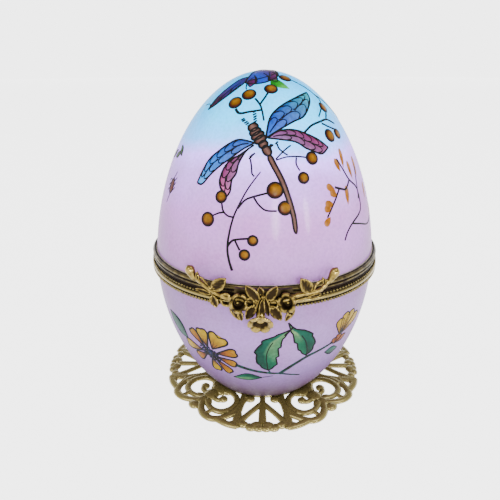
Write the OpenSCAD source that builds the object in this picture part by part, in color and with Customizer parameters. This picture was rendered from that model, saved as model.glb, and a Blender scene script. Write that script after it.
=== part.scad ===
// Hinged porcelain egg box with brass rims, a floral snap clasp and a pierced stand.
// Front is -Y, the hinge is at +Y, and Z = 0 is the table under the stand.

/* [Egg] */
// Width of the porcelain egg at its waist
egg_w = 62.4; // [52:0.2:75]
// Height of the crown above the waist
crown_h = 52.2; // [43:0.2:63]
// Depth of the lower curve below the waist, before the foot cuts it off
bowl_depth = 45.8; // [44:0.2:55]
// Height of the waist above the table
waist_z = 39; // [36:0.2:42]
// Fullness of the egg's curve, 2 is an ellipse
egg_power = 1.85; // [1.7:0.05:2.1]
// Thickness of the porcelain
porcelain_t = 2.5; // [2:0.1:3]
// Thickness of the bowl's floor over the foot recess
floor_t = 2.4; // [2:0.1:3.5]
// Depth of the recess inside the foot ring
recess_d = 0.8; // [0.5:0.1:1.2]
// Width of the foot ring that stands on the brass
foot_ring_w = 3; // [2:0.1:4]

/* [Rim bands] */
// Height of the parting line above the waist
parting_rise = 2.8; // [2.6:0.1:4]
// Gap between the two bands when the lid is shut
parting_gap = 0.1; // [0.06:0.02:0.2]
// Height of the lid's band
lid_band_h = 2.6; // [2.4:0.1:3.5]
// Height of the bowl's band
bowl_band_h = 2.9; // [2.8:0.1:3.5]
// Wall of the bands beside the porcelain
band_wall = 0.6; // [0.5:0.05:0.8]
// Thickness of the flat lips that cover the porcelain rims
lip_t = 0.45; // [0.35:0.05:0.7]
// Cement between a band and its porcelain
cement_t = 0.25; // [0.15:0.05:0.35]
// Radius of the half-round mouldings on the bands
moulding_r = 0.5; // [0.4:0.05:0.55]
// Radius of the beaded wire
beaded_wire_r = 0.3; // [0.25:0.05:0.35]
// Radius of the milled wire
milled_wire_r = 0.45; // [0.35:0.05:0.5]

/* [Hinge] */
// Outer radius of the knuckles
knuckle_r = 1.25; // [1:0.05:1.5]
// Length of one knuckle
knuckle_len = 2.8; // [2:0.1:3.5]
// Gap between neighbouring knuckles
knuckle_gap = 0.1; // [0.06:0.02:0.2]
// Radius of the hinge pin
pin_r = 0.6; // [0.5:0.05:0.75]
// Radial play of the pin in the bowl's knuckles
fixed_play = 0.02; // [0.01:0.01:0.04]
// Radial play of the pin in the lid's knuckles
turning_play = 0.05; // [0.03:0.01:0.08]
// Room between the knuckles and the other leaf
leaf_gap = 0.2; // [0.15:0.05:0.4]
// Thickness of a hinge leaf at its middle
leaf_t = 0.45; // [0.4:0.05:0.8]

/* [Clasp] */
// Room between the bowl's band and anything of the clasp that hangs over it
clasp_gap = 0.4; // [0.3:0.05:0.8]
// Edge of the lid's band left bare above and below the back plate
back_plate_edge = 0.2; // [0.1:0.05:0.4]
// Half width of the back plate, in degrees round the egg
back_plate_half_deg = 12; // [9:1:15]
// Thickness of the tongue
tongue_t = 0.35; // [0.25:0.05:0.5]
// Width of the tongue
tongue_w = 3.2; // [2.4:0.2:4]
// How far the tongue hangs below the parting line
tongue_drop = 3.2; // [2.8:0.1:4]
// Radius of the catch stud
stud_r = 0.5; // [0.4:0.05:0.6]
// Room between the stud and the tongue
stud_gap = 0.1; // [0.06:0.02:0.14]
// Thickness of the cast twigs
twig_r = 0.5; // [0.4:0.05:0.6]
// Thickness of the cast leaves and petals
petal_t = 0.7; // [0.5:0.1:1]

/* [Stand] */
// Thickness of the pierced stand
stand_t = 0.9; // [0.7:0.1:1.3]
// How far the stand reaches past the foot of the egg
stand_reach = 13.5; // [10:0.5:17]
// Width of the pierced work's bars
bar_w = 1; // [0.8:0.1:1.4]
// Width of the stand's outer rim
rim_w = 1.1; // [0.9:0.1:1.6]

/* [Hidden] */

// Solder and cement joints leave this much between two fixed pieces.
seat = 0.015;
$fn = 96;

egg_r = egg_w / 2;
parting_z = waist_z + parting_rise;
lid_foot_z = parting_z + parting_gap / 2;
bowl_top_z = parting_z - parting_gap / 2;
lid_top_z = lid_foot_z + lid_band_h;
bowl_band_z = bowl_top_z - bowl_band_h;

// Radius of the egg's outer surface at a height.
function egg_at(z) =
    egg_r * sqrt(1 - pow(z >= waist_z ? (z - waist_z) / crown_h : (waist_z - z) / bowl_depth, egg_power));

// Point of the egg's outline at a sweep angle: -90 is the bottom, 0 the waist, 90 the top.
function egg_point(a) =
    [egg_r * cos(a), waist_z + (a >= 0 ? crown_h : -bowl_depth) * pow(abs(sin(a)), 2 / egg_power)];

// The same point moved inwards along the surface's normal.
function inset_point(a, t) =
    let(p = egg_point(a), d = egg_point(min(a + 1, 90)) - egg_point(max(a - 1, -90)))
    abs(a) == 90 ? [0, p[1] - sign(a) * t] : p + t * [-d[1], d[0]] / norm(d);

sweep_step = 3;
module egg_outline(t = 0) {
    polygon([for (a = [-90 : sweep_step : 90]) inset_point(a, t)]);
}

// Keeps what lies between two heights.
module between(z0, z1) {
    intersection() {
        children();
        translate([0, z0]) square([egg_w, z1 - z0]);
    }
}

// Points along an arc of a profile, from one angle to another.
arc_steps = 8;
function arc(r, z, radius, a0, a1) =
    [for (i = [0 : arc_steps])
        let(a = a0 + (a1 - a0) * i / arc_steps)
        [r + radius * cos(a), z + radius * sin(a)]];

// A moulding sunk half its radius into a wall stands out between these angles.
moulding_sweep = acos(0.5);
function moulding(wall_r, z, way = 1) =
    arc(wall_r - moulding_r / 2, z, moulding_r, way * moulding_sweep, -way * moulding_sweep);

band_in_r = egg_at(waist_z) + cement_t;
lid_band_in_r = egg_at(lid_foot_z) + cement_t;
lid_band_r = lid_band_in_r + band_wall;
bowl_band_r = band_in_r + band_wall;
lip_in_r = egg_at(parting_z) - porcelain_t;
porcelain_top_z = waist_z + crown_h;

// ---------- Lid ----------

lid_rim_z = lid_foot_z + lip_t + seat;

module lid_shell() {
    color("lightskyblue")
    rotate_extrude()
    between(lid_rim_z, porcelain_top_z + 1)
    difference() {
        egg_outline();
        egg_outline(porcelain_t);
    }
}

// The outer face carries two mouldings, and the inner face follows the egg's slope.
module lid_band() {
    color("darkgoldenrod")
    rotate_extrude()
    polygon(concat(
        [[lip_in_r, lid_foot_z], [lid_band_r, lid_foot_z]],
        [for (k = [3, 1]) each moulding(lid_band_r, lid_top_z - k * moulding_r, -1)],
        [
            [egg_at(lid_top_z) + cement_t + band_wall / 2, lid_top_z],
            [egg_at(lid_top_z) + cement_t, lid_top_z],
            [egg_at(lid_foot_z + lip_t) + cement_t, lid_foot_z + lip_t],
            [lip_in_r, lid_foot_z + lip_t]
        ]
    ));
}

module lid_rim_cement() {
    z0 = lid_rim_z + seat;
    z1 = lid_top_z - 3 * seat;
    color("gainsboro")
    rotate_extrude()
    polygon([
        [egg_at(z0) + seat, z0],
        [egg_at(z0) + cement_t - seat, z0],
        [egg_at(z1) + cement_t - seat, z1],
        [egg_at(z1) + seat, z1]
    ]);
}

// ---------- Bowl ----------

foot_z = stand_t;
foot_r = egg_at(foot_z);
recess_r = foot_r - foot_ring_w;
floor_z = foot_z + recess_d + floor_t;
bowl_rim_z = bowl_top_z - lip_t - seat;

module bowl_shell() {
    color("plum")
    rotate_extrude()
    difference() {
        between(foot_z, bowl_rim_z) egg_outline();
        between(floor_z, bowl_rim_z + 1) egg_outline(porcelain_t);
        translate([-1, foot_z - 1]) square([recess_r + 1, recess_d + 1]);
    }
}

beaded_wire_z = bowl_top_z - beaded_wire_r - 0.1;
milled_wire_z = bowl_band_z + milled_wire_r;
moulding_z = (beaded_wire_z - beaded_wire_r + milled_wire_z + milled_wire_r) / 2;

// Half-round groove that seats a wire in the band's outer face.
function groove(z, wire_r) =
    arc(bowl_band_r, z, wire_r + seat, 90, 270);

module bowl_band() {
    color("darkgoldenrod")
    rotate_extrude()
    polygon(concat(
        [[lip_in_r, bowl_top_z], [bowl_band_r, bowl_top_z]],
        groove(beaded_wire_z, beaded_wire_r),
        moulding(bowl_band_r, moulding_z),
        [for (p = groove(milled_wire_z, milled_wire_r)) if (p[1] > bowl_band_z) p],
        [
            [band_in_r, bowl_band_z],
            [band_in_r, waist_z],
            [egg_at(bowl_top_z - lip_t) + cement_t, bowl_top_z - lip_t],
            [lip_in_r, bowl_top_z - lip_t]
        ]
    ));
}

module bowl_rim_cement() {
    z0 = bowl_band_z + 3 * seat;
    z1 = bowl_rim_z - seat;
    color("gainsboro")
    rotate_extrude()
    polygon([
        [egg_r + seat, z0],
        [band_in_r - seat, z0],
        [band_in_r - seat, waist_z],
        [egg_at(z1) + cement_t - seat, z1],
        [egg_at(z1) + seat, z1],
        [egg_r + seat, waist_z]
    ]);
}

module ring_wire(r, z) {
    rotate_extrude()
    translate([bowl_band_r, z]) circle(r, $fn = 32);
}

module bowl_beaded_wire() {
    color("goldenrod")
    ring_wire(beaded_wire_r, beaded_wire_z);
}

module bowl_milled_wire() {
    color("goldenrod")
    ring_wire(milled_wire_r, milled_wire_z);
}

// ---------- Hinge ----------

lid_reach_r = lid_band_r + moulding_r / 2;
bowl_reach_r = bowl_band_r + max(moulding_r / 2, milled_wire_r);
band_reach_r = max(lid_reach_r, bowl_reach_r);
leaf_back_y = band_reach_r + leaf_t;
hinge_y = leaf_back_y + leaf_gap + knuckle_r;
hinge_pitch = knuckle_len + knuckle_gap;
hinge_half_w = 2.5 * knuckle_len + 2 * knuckle_gap;

module at_knuckle(i) {
    translate([i * hinge_pitch - knuckle_len / 2, hinge_y, parting_z]) children();
}

// One leaf: a block that follows its band and carries its knuckles on short webs.
module hinge_leaf(z0, z1, seat_r, web_rise, knuckles, bore_r) {
    web_y = leaf_back_y - leaf_t / 2;
    difference() {
        union() {
            difference() {
                translate([-hinge_half_w, 0, z0]) cube([2 * hinge_half_w, leaf_back_y, z1 - z0]);
                translate([0, 0, z0 - 1]) cylinder(r = seat_r + seat, h = z1 - z0 + 2);
            }
            for (i = knuckles) {
                at_knuckle(i) rotate([0, 90, 0]) cylinder(r = knuckle_r, h = knuckle_len, $fn = 48);
                at_knuckle(i)
                translate([0, web_y - hinge_y, web_rise])
                cube([knuckle_len, hinge_y - web_y, knuckle_r - parting_gap / 2]);
            }
        }
        translate([-hinge_half_w - 1, hinge_y, parting_z])
        rotate([0, 90, 0]) cylinder(r = bore_r, h = 2 * hinge_half_w + 2, $fn = 48);
    }
}

module lid_hinge_leaf() {
    color("goldenrod")
    hinge_leaf(lid_foot_z, lid_top_z - moulding_r / 2, lid_reach_r, parting_gap / 2, [-1, 1],
               pin_r + turning_play);
}

module bowl_hinge_leaf() {
    color("goldenrod")
    hinge_leaf(bowl_band_z, bowl_top_z, bowl_reach_r, -knuckle_r, [-2, 0, 2], pin_r + fixed_play);
}

pin_head_h = 0.4;
module hinge_pin() {
    color("peru")
    translate([-hinge_half_w - seat, hinge_y, parting_z])
    rotate([0, 90, 0]) {
        cylinder(r = pin_r, h = 2 * (hinge_half_w + seat), $fn = 48);
        translate([0, 0, -pin_head_h]) cylinder(r1 = pin_r, r2 = pin_r * 1.5, h = pin_head_h, $fn = 48);
        translate([0, 0, 2 * (hinge_half_w + seat)])
        cylinder(r1 = pin_r * 1.5, r2 = pin_r, h = pin_head_h, $fn = 48);
    }
}

// ---------- Clasp ----------

stud_tip_r = band_reach_r + 0.3;
tongue_back_r = stud_tip_r + stud_gap;
tongue_front_r = tongue_back_r + tongue_t;
back_plate_r = tongue_back_r - seat;
clasp_r = max(tongue_front_r, band_reach_r + clasp_gap) + seat;

// Places a shape round the front: degrees to the right, height from the parting line.
module at_front(deg, rise, out = 0) {
    rotate([0, 0, deg]) translate([0, -clasp_r - out, parting_z + rise]) children();
}

// A flat leaf facing outwards, pointing up before it is turned.
module leaf(length, width, turn) {
    half = width / 2;
    bow = (half * half + length * length / 4) / (2 * half);
    rotate([90, 0, 0])
    rotate([0, 0, turn])
    linear_extrude(petal_t)
    intersection() {
        translate([bow - half, length / 2]) circle(bow, $fn = 64);
        translate([half - bow, length / 2]) circle(bow, $fn = 64);
    }
}

// A front point given as [degrees, rise, out, radius].
function front_point(p) =
    [(clasp_r + p[2]) * sin(p[0]), -(clasp_r + p[2]) * cos(p[0]), parting_z + p[1]];

twig_sides = 10;
function ring(p, d) =
    let(
        out = [sin(p[0]), -cos(p[0]), 0],
        side = cross(d, out) / norm(cross(d, out)),
        up = cross(d, side) / norm(d)
    )
    [for (i = [0 : twig_sides - 1])
        front_point(p) + p[3] * (cos(360 * i / twig_sides) * side + sin(360 * i / twig_sides) * up)];

// A round rod of changing thickness swept through front points.
module twig(points) {
    last = len(points) - 1;
    rings = [for (i = [0 : last])
        ring(points[i], front_point(points[min(i + 1, last)]) - front_point(points[max(i - 1, 0)]))];
    polyhedron(
        points = [for (r = rings) each r],
        faces = concat(
            [[for (k = [0 : twig_sides - 1]) k]],
            [for (i = [0 : last - 1], k = [0 : twig_sides - 1]) let(n = (k + 1) % twig_sides)
                [i * twig_sides + k, (i + 1) * twig_sides + k, (i + 1) * twig_sides + n, i * twig_sides + n]],
            [[for (k = [twig_sides - 1 : -1 : 0]) last * twig_sides + k]]
        ));
}

// The last stretch of a twig: a pointed bud.
function bud(deg, rise, out, side) =
    [[deg, rise, out, 0.5 * bud_r], [deg + side * 0.8, rise + 0.6, out, bud_r],
     [deg + side * 1.6, rise + 1.3, out, 0.8 * bud_r], [deg + side * 2, rise + 1.7, out, 0.2 * bud_r]];
bud_r = 0.9;

module clasp_back_plate() {
    color("goldenrod")
    rotate([0, 0, -90 - back_plate_half_deg])
    rotate_extrude(angle = 2 * back_plate_half_deg)
    translate([lid_reach_r + seat, lid_foot_z + back_plate_edge])
    square([back_plate_r - lid_reach_r - seat, lid_band_h - 2 * back_plate_edge]);
}

// side is -1 for the left twig and 1 for the right one.
module branch(side) {
    twig(concat(
        [[side * 9.5, 1.2, -0.1, twig_r], [side * 14, 1.8, 0.1, twig_r], [side * 20, 1.6, 0.2, twig_r],
         [side * 25, 2.2, 0.1, 0.8 * twig_r]],
        bud(side * 29, 3.4, 0, side)));
    twig(concat([[side * 22, 1.8, 0.15, 0.6 * twig_r]], bud(side * 25, 3.6, 0.1, side)));
    at_front(side * 20.5, 1) leaf(5, 2.8, side * 45);
    at_front(side * 20, 1.8) leaf(4.6, 2, side * 190);
}

module clasp_left_branch() {
    color("goldenrod")
    branch(-1);
}

module clasp_right_branch() {
    color("goldenrod")
    branch(1);
}

bell_r = 1.8;
bell_h = 2.2;
bell_root_r = 0.7;
bell_lean = 120;
// A bell flower that opens outwards and a little down, with a bud and a leaf below it.
module blossom(side) {
    at_front(side * 9.5, 1.2, -0.2)
    rotate([bell_lean, 0, 0]) cylinder(r1 = bell_root_r, r2 = bell_r, h = bell_h, $fn = 48);
    twig([[side * 9.5, 0.9, 0.3, twig_r], [side * 10.5, -1.4, 0.4, twig_r],
          [side * 11, -2.4, 0.5, 0.7 * bud_r], [side * 11.6, -3.6, 0.5, 0.3 * bud_r]]);
    twig([[side * 9.2, 0.7, 0.3, twig_r], [side * 7, -1.6, 0.2, twig_r]]);
    at_front(side * 7, -1.4) leaf(3.6, 2, side * 190);
}

module clasp_left_blossom() {
    color("goldenrod")
    blossom(-1);
}

module clasp_right_blossom() {
    color("goldenrod")
    blossom(1);
}

// A small five-petalled flower facing outwards.
module rosette(r) {
    rotate([90, 0, 0]) cylinder(r1 = r * 0.4, r2 = r * 0.2, h = 1.5 * petal_t, $fn = 32);
    rotate([90, 0, 0])
    linear_extrude(petal_t) {
        circle(r * 0.6, $fn = 32);
        for (i = [0 : 4]) rotate(72 * i) translate([r * 0.6, 0]) circle(r * 0.4, $fn = 32);
    }
}

module clasp_centre_blossoms() {
    color("goldenrod") {
        at_front(-5, 2) rosette(1.6);
        at_front(4.5, 1.6) rosette(1.6);
        at_front(-0.5, 0.2) rosette(1.7);
        twig([[-5, 1.8, 0.05, twig_r], [-0.5, 0.6, 0.05, twig_r], [4.5, 1.6, 0.05, twig_r]]);
    }
}

module clasp_tongue() {
    color("peru")
    translate([-tongue_w / 2, -tongue_front_r, parting_z - tongue_drop])
    cube([tongue_w, tongue_t, tongue_drop + lid_band_h - 0.3]);
}

thumb_r = 2.9;
thumb_tilt = 40;
thumb_stem_r = 0.8;
thumb_stem_h = 3.4;
thumb_lap = 1.2;
// A flower on a short stem that laps the tongue, with its face looking forwards and down.
module thumb_flower() {
    color("goldenrod")
    at_front(0, thumb_lap - tongue_drop - thumb_stem_h, 0.5) {
        cylinder(r = thumb_stem_r, h = thumb_stem_h, $fn = 32);
        rotate([90 + thumb_tilt, 0, 0]) {
            cylinder(r1 = thumb_stem_r, r2 = thumb_r * 0.6, h = 2 * petal_t, $fn = 48);
            translate([0, 0, petal_t])
            linear_extrude(petal_t)
            for (i = [0 : 4])
                rotate(90 + 72 * i) translate([thumb_r * 0.6, 0]) circle(thumb_r * 0.4, $fn = 32);
        }
    }
}

module catch_stud() {
    stud_root_r = bowl_band_r - band_wall / 2;
    color("peru")
    translate([0, -stud_tip_r, moulding_z])
    rotate([-90, 0, 0]) cylinder(r = stud_r, h = stud_tip_r - stud_root_r, $fn = 48);
}

// ---------- Stand ----------

hub_r = foot_r + 0.3;
stand_r = foot_r + stand_reach;
reach = stand_r - hub_r;

// Point of the pierced work: degrees from the panel's middle, 0 at the hub and 1 at the rim.
function panel_point(deg, f) = (hub_r + f * reach) * [sin(deg), cos(deg)];

module bar(deg0, f0, deg1, f1, w = bar_w) {
    a = panel_point(deg0, f0);
    b = panel_point(deg1, f1);
    d = b - a;
    translate(a) rotate(atan2(d[1], d[0])) translate([0, -w / 2]) square([norm(d), w]);
}

module dot(deg, f, r) {
    translate(panel_point(deg, f)) circle(r, $fn = 32);
}

module hoop(deg, f, r, w = bar_w) {
    translate(panel_point(deg, f))
    difference() {
        circle(r + w / 2, $fn = 48);
        circle(r - w / 2, $fn = 48);
    }
}

// Fan panel: a spoke, two leaning bars, two drops, and a palmette on the rim.
module fan_panel() {
    bar(0, -0.1, 0, 1, bar_w * 1.4);
    for (s = [-1, 1]) {
        bar(0, 0.2, s * 14, 0.9);
        bar(s * 20, -0.1, s * 15.5, 0.92);
        dot(s * 11.8, 0.08, 1.2);
        dot(s * 4.2, 0.9, 1.5);
        dot(s * 11, 0.93, 1);
    }
}

// Scroll panel: a boss with a pair of hoops on each side and a lobe on the rim.
module scroll_panel() {
    bar(0, -0.1, 0, 0.75, bar_w * 2.6);
    dot(0, 0.93, 1.4);
    for (s = [-1, 1]) {
        hoop(s * 13, 0.39, reach * 0.27);
        hoop(s * 12.6, 0.52, reach * 0.37);
        dot(s * 10.5, 0.38, 1.1);
        bar(0, 0.35, s * 10.5, 0.38);
        bar(s * 27, 0.4, s * 22, 0.42);
    }
}

module filigree_stand() {
    color("saddlebrown")
    linear_extrude(stand_t)
    union() {
        circle(hub_r);
        difference() {
            circle(stand_r - 0.5);
            circle(stand_r - 0.5 - rim_w);
        }
        for (q = [0 : 3]) {
            rotate(90 * q) fan_panel();
            rotate(90 * q + 45) scroll_panel();
        }
    }
}

module foot_cement() {
    color("gainsboro")
    translate([0, 0, stand_t + seat])
    cylinder(r = recess_r - 4 * seat, h = recess_d - 2 * seat);
}

lid_shell();
lid_band();
lid_rim_cement();
lid_hinge_leaf();
clasp_back_plate();
clasp_left_branch();
clasp_right_branch();
clasp_left_blossom();
clasp_right_blossom();
clasp_centre_blossoms();
clasp_tongue();
thumb_flower();
bowl_shell();
bowl_band();
bowl_rim_cement();
bowl_beaded_wire();
bowl_milled_wire();
bowl_hinge_leaf();
hinge_pin();
catch_stud();
filigree_stand();
foot_cement();
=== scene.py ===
# Porcelain egg trinket box: brass rims, a back hinge, a cast flower clasp and a pierced brass stand.
import math
from functools import partial

import bmesh
import bpy
from mathutils import Matrix, Vector


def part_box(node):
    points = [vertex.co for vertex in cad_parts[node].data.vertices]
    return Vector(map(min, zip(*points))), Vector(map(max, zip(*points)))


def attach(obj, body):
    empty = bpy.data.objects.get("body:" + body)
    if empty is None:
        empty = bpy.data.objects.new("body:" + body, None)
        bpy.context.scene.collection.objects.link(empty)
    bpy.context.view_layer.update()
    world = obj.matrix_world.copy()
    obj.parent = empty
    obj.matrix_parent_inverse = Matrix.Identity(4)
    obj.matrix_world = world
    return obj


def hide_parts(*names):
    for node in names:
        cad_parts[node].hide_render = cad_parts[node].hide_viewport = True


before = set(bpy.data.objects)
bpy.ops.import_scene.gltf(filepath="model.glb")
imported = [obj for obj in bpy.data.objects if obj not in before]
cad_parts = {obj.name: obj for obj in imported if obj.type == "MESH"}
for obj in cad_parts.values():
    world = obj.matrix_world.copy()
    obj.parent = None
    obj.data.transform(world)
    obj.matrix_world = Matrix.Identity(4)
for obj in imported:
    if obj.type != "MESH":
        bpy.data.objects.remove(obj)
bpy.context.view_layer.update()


# --- Table, lamps and camera -------------------------------------------------
# The box stands on a plain pale table inside a round lit wall, under two broad lamps and before two tall
# windows. A dark panel gives the brass something to reflect. The camera looks down from close by.
MM = 0.001


def fill(tree, node, inputs):
    """Sets each named input of a node to a value, or links it to the outputs given."""
    for name, value in inputs.items():
        if isinstance(value, (bpy.types.NodeSocket, list)):
            for source in value if isinstance(value, list) else [value]:
                tree.links.new(source, node.inputs[name])
        else:
            node.inputs[name].default_value = value


def make(tree, kind, inputs=None, out=0, **settings):
    """Adds a node to a tree and returns one of its outputs, or all of them when out is None."""
    node = tree.nodes.new(kind)
    for label, value in settings.items():
        setattr(node, label, value)
    fill(tree, node, inputs or {})
    return node.outputs if out is None else node.outputs[out]


def own_material(name):
    material = bpy.data.materials.new(name)
    material.use_nodes = True
    return material, material.node_tree


def surface(material, inputs):
    """Fills the inputs of a material's own shader."""
    fill(material.node_tree, material.node_tree.nodes["Principled BSDF"], inputs)
    return material


def object_noise(tree, scale, detail=3.0):
    place = make(tree, "ShaderNodeTexCoord", out="Object")
    return make(tree, "ShaderNodeTexNoise", {"Scale": scale, "Detail": detail, "Vector": place})


def colour_ramp(tree, factor, stops):
    ramp = tree.nodes.new("ShaderNodeValToRGB")
    while len(ramp.color_ramp.elements) < len(stops):
        ramp.color_ramp.elements.new(0.5)
    for element, (place, colour) in zip(ramp.color_ramp.elements, stops):
        element.position = place
        element.color = (*colour, 1)
    fill(tree, ramp, {"Fac": factor})
    return ramp.outputs["Color"]


def add_piece(name, mesh):
    piece = bpy.data.objects.new(name, mesh)
    bpy.context.collection.objects.link(piece)
    return piece


def backdrop(name, corners, faces, paint):
    """Part of the studio that is never part of the box: the table, a lit wall or a dark panel."""
    mesh = bpy.data.meshes.new(name)
    mesh.from_pydata(corners, [], faces)
    mesh.materials.append(paint)
    panel = add_piece(name, mesh)


def glowing(name, painted_light_side):
    return surface(own_material(name)[0], {
        "Base Color": (0.02, 0.02, 0.02, 1), "Roughness": 1.0, "Emission Color": (1, 1, 1, 1),
        "Emission Strength": painted_light_side})


backdrop_level = 4.1
lamp_level = 2.4
table_size = 2.6
table_paint, tree = own_material("lit white table")
surface(table_paint, {
    "Base Color": colour_ramp(tree, object_noise(tree, 40.0), [(0.3, (0.24,) * 3), (0.7, (0.26,) * 3)]),
    "Roughness": 0.9, "Specular IOR Level": 0.0, "Emission Color": (1, 1, 1, 1),
    "Emission Strength": backdrop_level - 0.35})
backdrop("table", [(x * table_size, y * table_size, 0) for x, y in ((-1, -1), (1, -1), (1, 1), (-1, 1))],
         [(0, 1, 2, 3)], table_paint)

sky = bpy.data.worlds.new("studio")
sky.use_nodes = True
fill(sky.node_tree, sky.node_tree.nodes["Background"], {"Color": (1.0, 1.0, 1.0, 1), "Strength": 0.9})
bpy.context.scene.world = sky


def soft_lamp(name, place, aim, size, power, tall=1.0):
    light = bpy.data.lights.new(name, "AREA")
    light.shape = "ELLIPSE"
    light.size = size
    light.size_y = size * tall
    light.energy = power
    lamp = add_piece(name, light)
    lamp.location = place
    lamp.rotation_euler = (Vector(aim) - Vector(place)).to_track_quat("-Z", "Y").to_euler()


egg_middle = (0, 0, 0.045)
soft_lamp("big window", (-0.5, -0.6, 0.9), egg_middle, 0.7, 11.0)
soft_lamp("ceiling", (0.5, -0.1, 1.2), egg_middle, 0.7, 9.0)
soft_lamp("window left", (0.21, -1.0, 0.30), (0, -0.03, 0.06), 0.15, 11.0, 2.4)
soft_lamp("window right", (0.74, -0.73, 0.26), (0, -0.03, 0.06), 0.11, 6.5, 2.6)
wall_sides, wall_r, wall_top = 48, 2.5, 0.9
turns = [2 * math.pi * k / wall_sides for k in range(wall_sides)]
wall = [(wall_r * math.cos(a), wall_r * math.sin(a), z) for z in (0, wall_top) for a in turns]
nexts = [(k, (k + 1) % wall_sides) for k in range(wall_sides)]
backdrop("lit wall", wall, [(k, k + wall_sides, n + wall_sides, n) for k, n in nexts],
         glowing("lit wall", backdrop_level))
dark_side, dark_y, dark_low, dark_high = 0.7, -1.4, 0.47, 1.4
backdrop("dark room", [(-dark_side, dark_y, dark_low), (dark_side, dark_y, dark_low), (dark_side, dark_y, dark_high),
                       (-dark_side, dark_y, dark_high)], [(0, 1, 2, 3)], glowing("dark room", 0.0))

eye = Vector((0, -132.67, 94.34)) * MM
aim = Vector((-4.1, 0, 40.9)) * MM
lens = bpy.data.cameras.new("camera")
lens.sensor_width = 36.0
lens.lens = 34.56
lens.clip_start = 0.01
camera = add_piece("camera", lens)
camera.location = eye
tilt = math.radians(-0.2)
facing = (aim - eye).to_track_quat("-Z", "Y")
camera.rotation_euler = (facing @ Matrix.Rotation(tilt, 3, "Z").to_quaternion()).to_euler()
bpy.context.scene.camera = camera


# --- Pierced stand -----------------------------------------------------------
# A disc of brass pressed with a border of fans and scrolls, pierced between the bars,
# then darkened and rubbed so that only the raised work is pale. Four panels repeat round it.
stand_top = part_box("filigree_stand")[1][2] / MM
hub_r = 16.5
corner_plate = (13.2, 30.1), (21.5, 30.1), (19.5, 28.6), (14.4, 27.2)


def open_sockets(tree, side, kinds):
    """Gives a tree its named inputs or outputs, each with its kind."""
    for name, kind in kinds.items():
        tree.interface.new_socket(name, in_out=side, socket_type="NodeSocket" + kind)


def patina_and_painted_light_group():
    """Brass gone dark in its hollows and polished where it stands out. On the clasp the dark hollows and pale ridges
    are also painted shade and painted highlight, and on the rims the dark grooves are also painted shade.
    """
    group = bpy.data.node_groups.new("worn_brass_and_painted_shade", "ShaderNodeTree")
    open_sockets(group, "INPUT", {
        "Bright": "Color", "Tarnish and shade": "Color", "Relief": "Float", "Grain": "Float", "Wear": "Float"})
    open_sockets(group, "OUTPUT", {"Color": "Color", "Roughness": "Float", "Height": "Float"})
    given = make(group, "NodeGroupInput", out=None)
    mottle = object_noise(group, given["Grain"], 5.0)
    sway = make(group, "ShaderNodeMath", {0: mottle, 1: 0.7, 2: given["Relief"]}, operation="MULTIPLY_ADD")
    level = make(group, "ShaderNodeMath", {0: sway, 1: given["Wear"]}, operation="ADD")
    mask = make(group, "ShaderNodeMapRange", {"From Min": 0.55, "From Max": 1.15, "Value": level},
                interpolation_type="SMOOTHSTEP")
    blend = make(group, "ShaderNodeMix", {"Factor": mask, 6: given["Tarnish and shade"], 7: given["Bright"]}, 2, data_type="RGBA")
    dull = make(group, "ShaderNodeMapRange", {"To Min": 0.55, "To Max": 0.26, "Value": mask})
    make(group, "NodeGroupOutput", {"Color": blend, "Roughness": dull, "Height": mottle}, None)
    return group


worn_brass_and_painted_shade = patina_and_painted_light_group()


def brass(name, bright, tarnish_and_shade, grain, wear, has_relief=True, bump=0.15, metallic=1.0):
    material, tree = own_material(name)
    relief = make(tree, "ShaderNodeAttribute", out="Fac", attribute_name="relief") if has_relief else 0.5
    patina = make(tree, "ShaderNodeGroup", {
        "Bright": (*bright, 1), "Tarnish and shade": (*tarnish_and_shade, 1), "Grain": grain, "Wear": wear, "Relief": relief,
    }, None, node_tree=worn_brass_and_painted_shade)
    dents = make(tree, "ShaderNodeBump", {"Strength": bump, "Distance": 0.05 * MM, "Height": patina["Height"]})
    return surface(material, {
        "Base Color": patina["Color"], "Roughness": patina["Roughness"], "Metallic": metallic, "Normal": dents})


relief_gain = 2.0


def store(mesh, name, values):
    """Keeps one number for each point of a mesh."""
    layer = mesh.attributes.new(name, "FLOAT", "POINT")
    for spot, value in zip(layer.data, values):
        spot.value = value


def mark_relief(mesh, flat_wear_and_light=0.5):
    """Stores how far each point stands out from its neighbours: 0 in a hollow, flat_wear_and_light where flat, 1 on a
    ridge.
    """
    sums = [Vector() for _ in mesh.vertices]
    counts = [0] * len(mesh.vertices)
    spans = [0.0] * len(mesh.vertices)
    for edge in mesh.edges:
        a, b = edge.vertices
        pa, pb = mesh.vertices[a].co, mesh.vertices[b].co
        length = (pa - pb).length
        for here, there in ((a, pb), (b, pa)):
            sums[here] += there
            counts[here] += 1
            spans[here] += length
    raw = []
    for i, point in enumerate(mesh.vertices):
        if counts[i] and spans[i] > 0:
            raw.append((point.co - sums[i] / counts[i]).dot(point.normal) / (spans[i] / counts[i]))
        else:
            raw.append(0.0)
    soft = list(raw)
    for edge in mesh.edges:
        a, b = edge.vertices
        soft[a] += raw[b]
        soft[b] += raw[a]
    store(mesh, "relief", [min(1.0, max(0.0, flat_wear_and_light + relief_gain * value / (1 + count)))
                           for value, count in zip(soft, counts)])


def node_tree(name, sizes):
    """A Geometry Nodes tree with geometry in and out, and its named inputs."""
    tree = bpy.data.node_groups.new(name, "GeometryNodeTree")
    open_sockets(tree, "INPUT", {"Geometry": "Geometry", **sizes})
    open_sockets(tree, "OUTPUT", {"Geometry": "Geometry"})
    return tree, make(tree, "NodeGroupInput", out=None)


def end_tree(tree, given, shape):
    """Ends a tree with real geometry in its finish."""
    real = make(tree, "GeometryNodeRealizeInstances", {"Geometry": shape})
    done = make(tree, "GeometryNodeSetMaterial", {"Geometry": real, "Material": given["Finish"]})
    make(tree, "NodeGroupOutput", {"Geometry": done}, None)
    return tree


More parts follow.
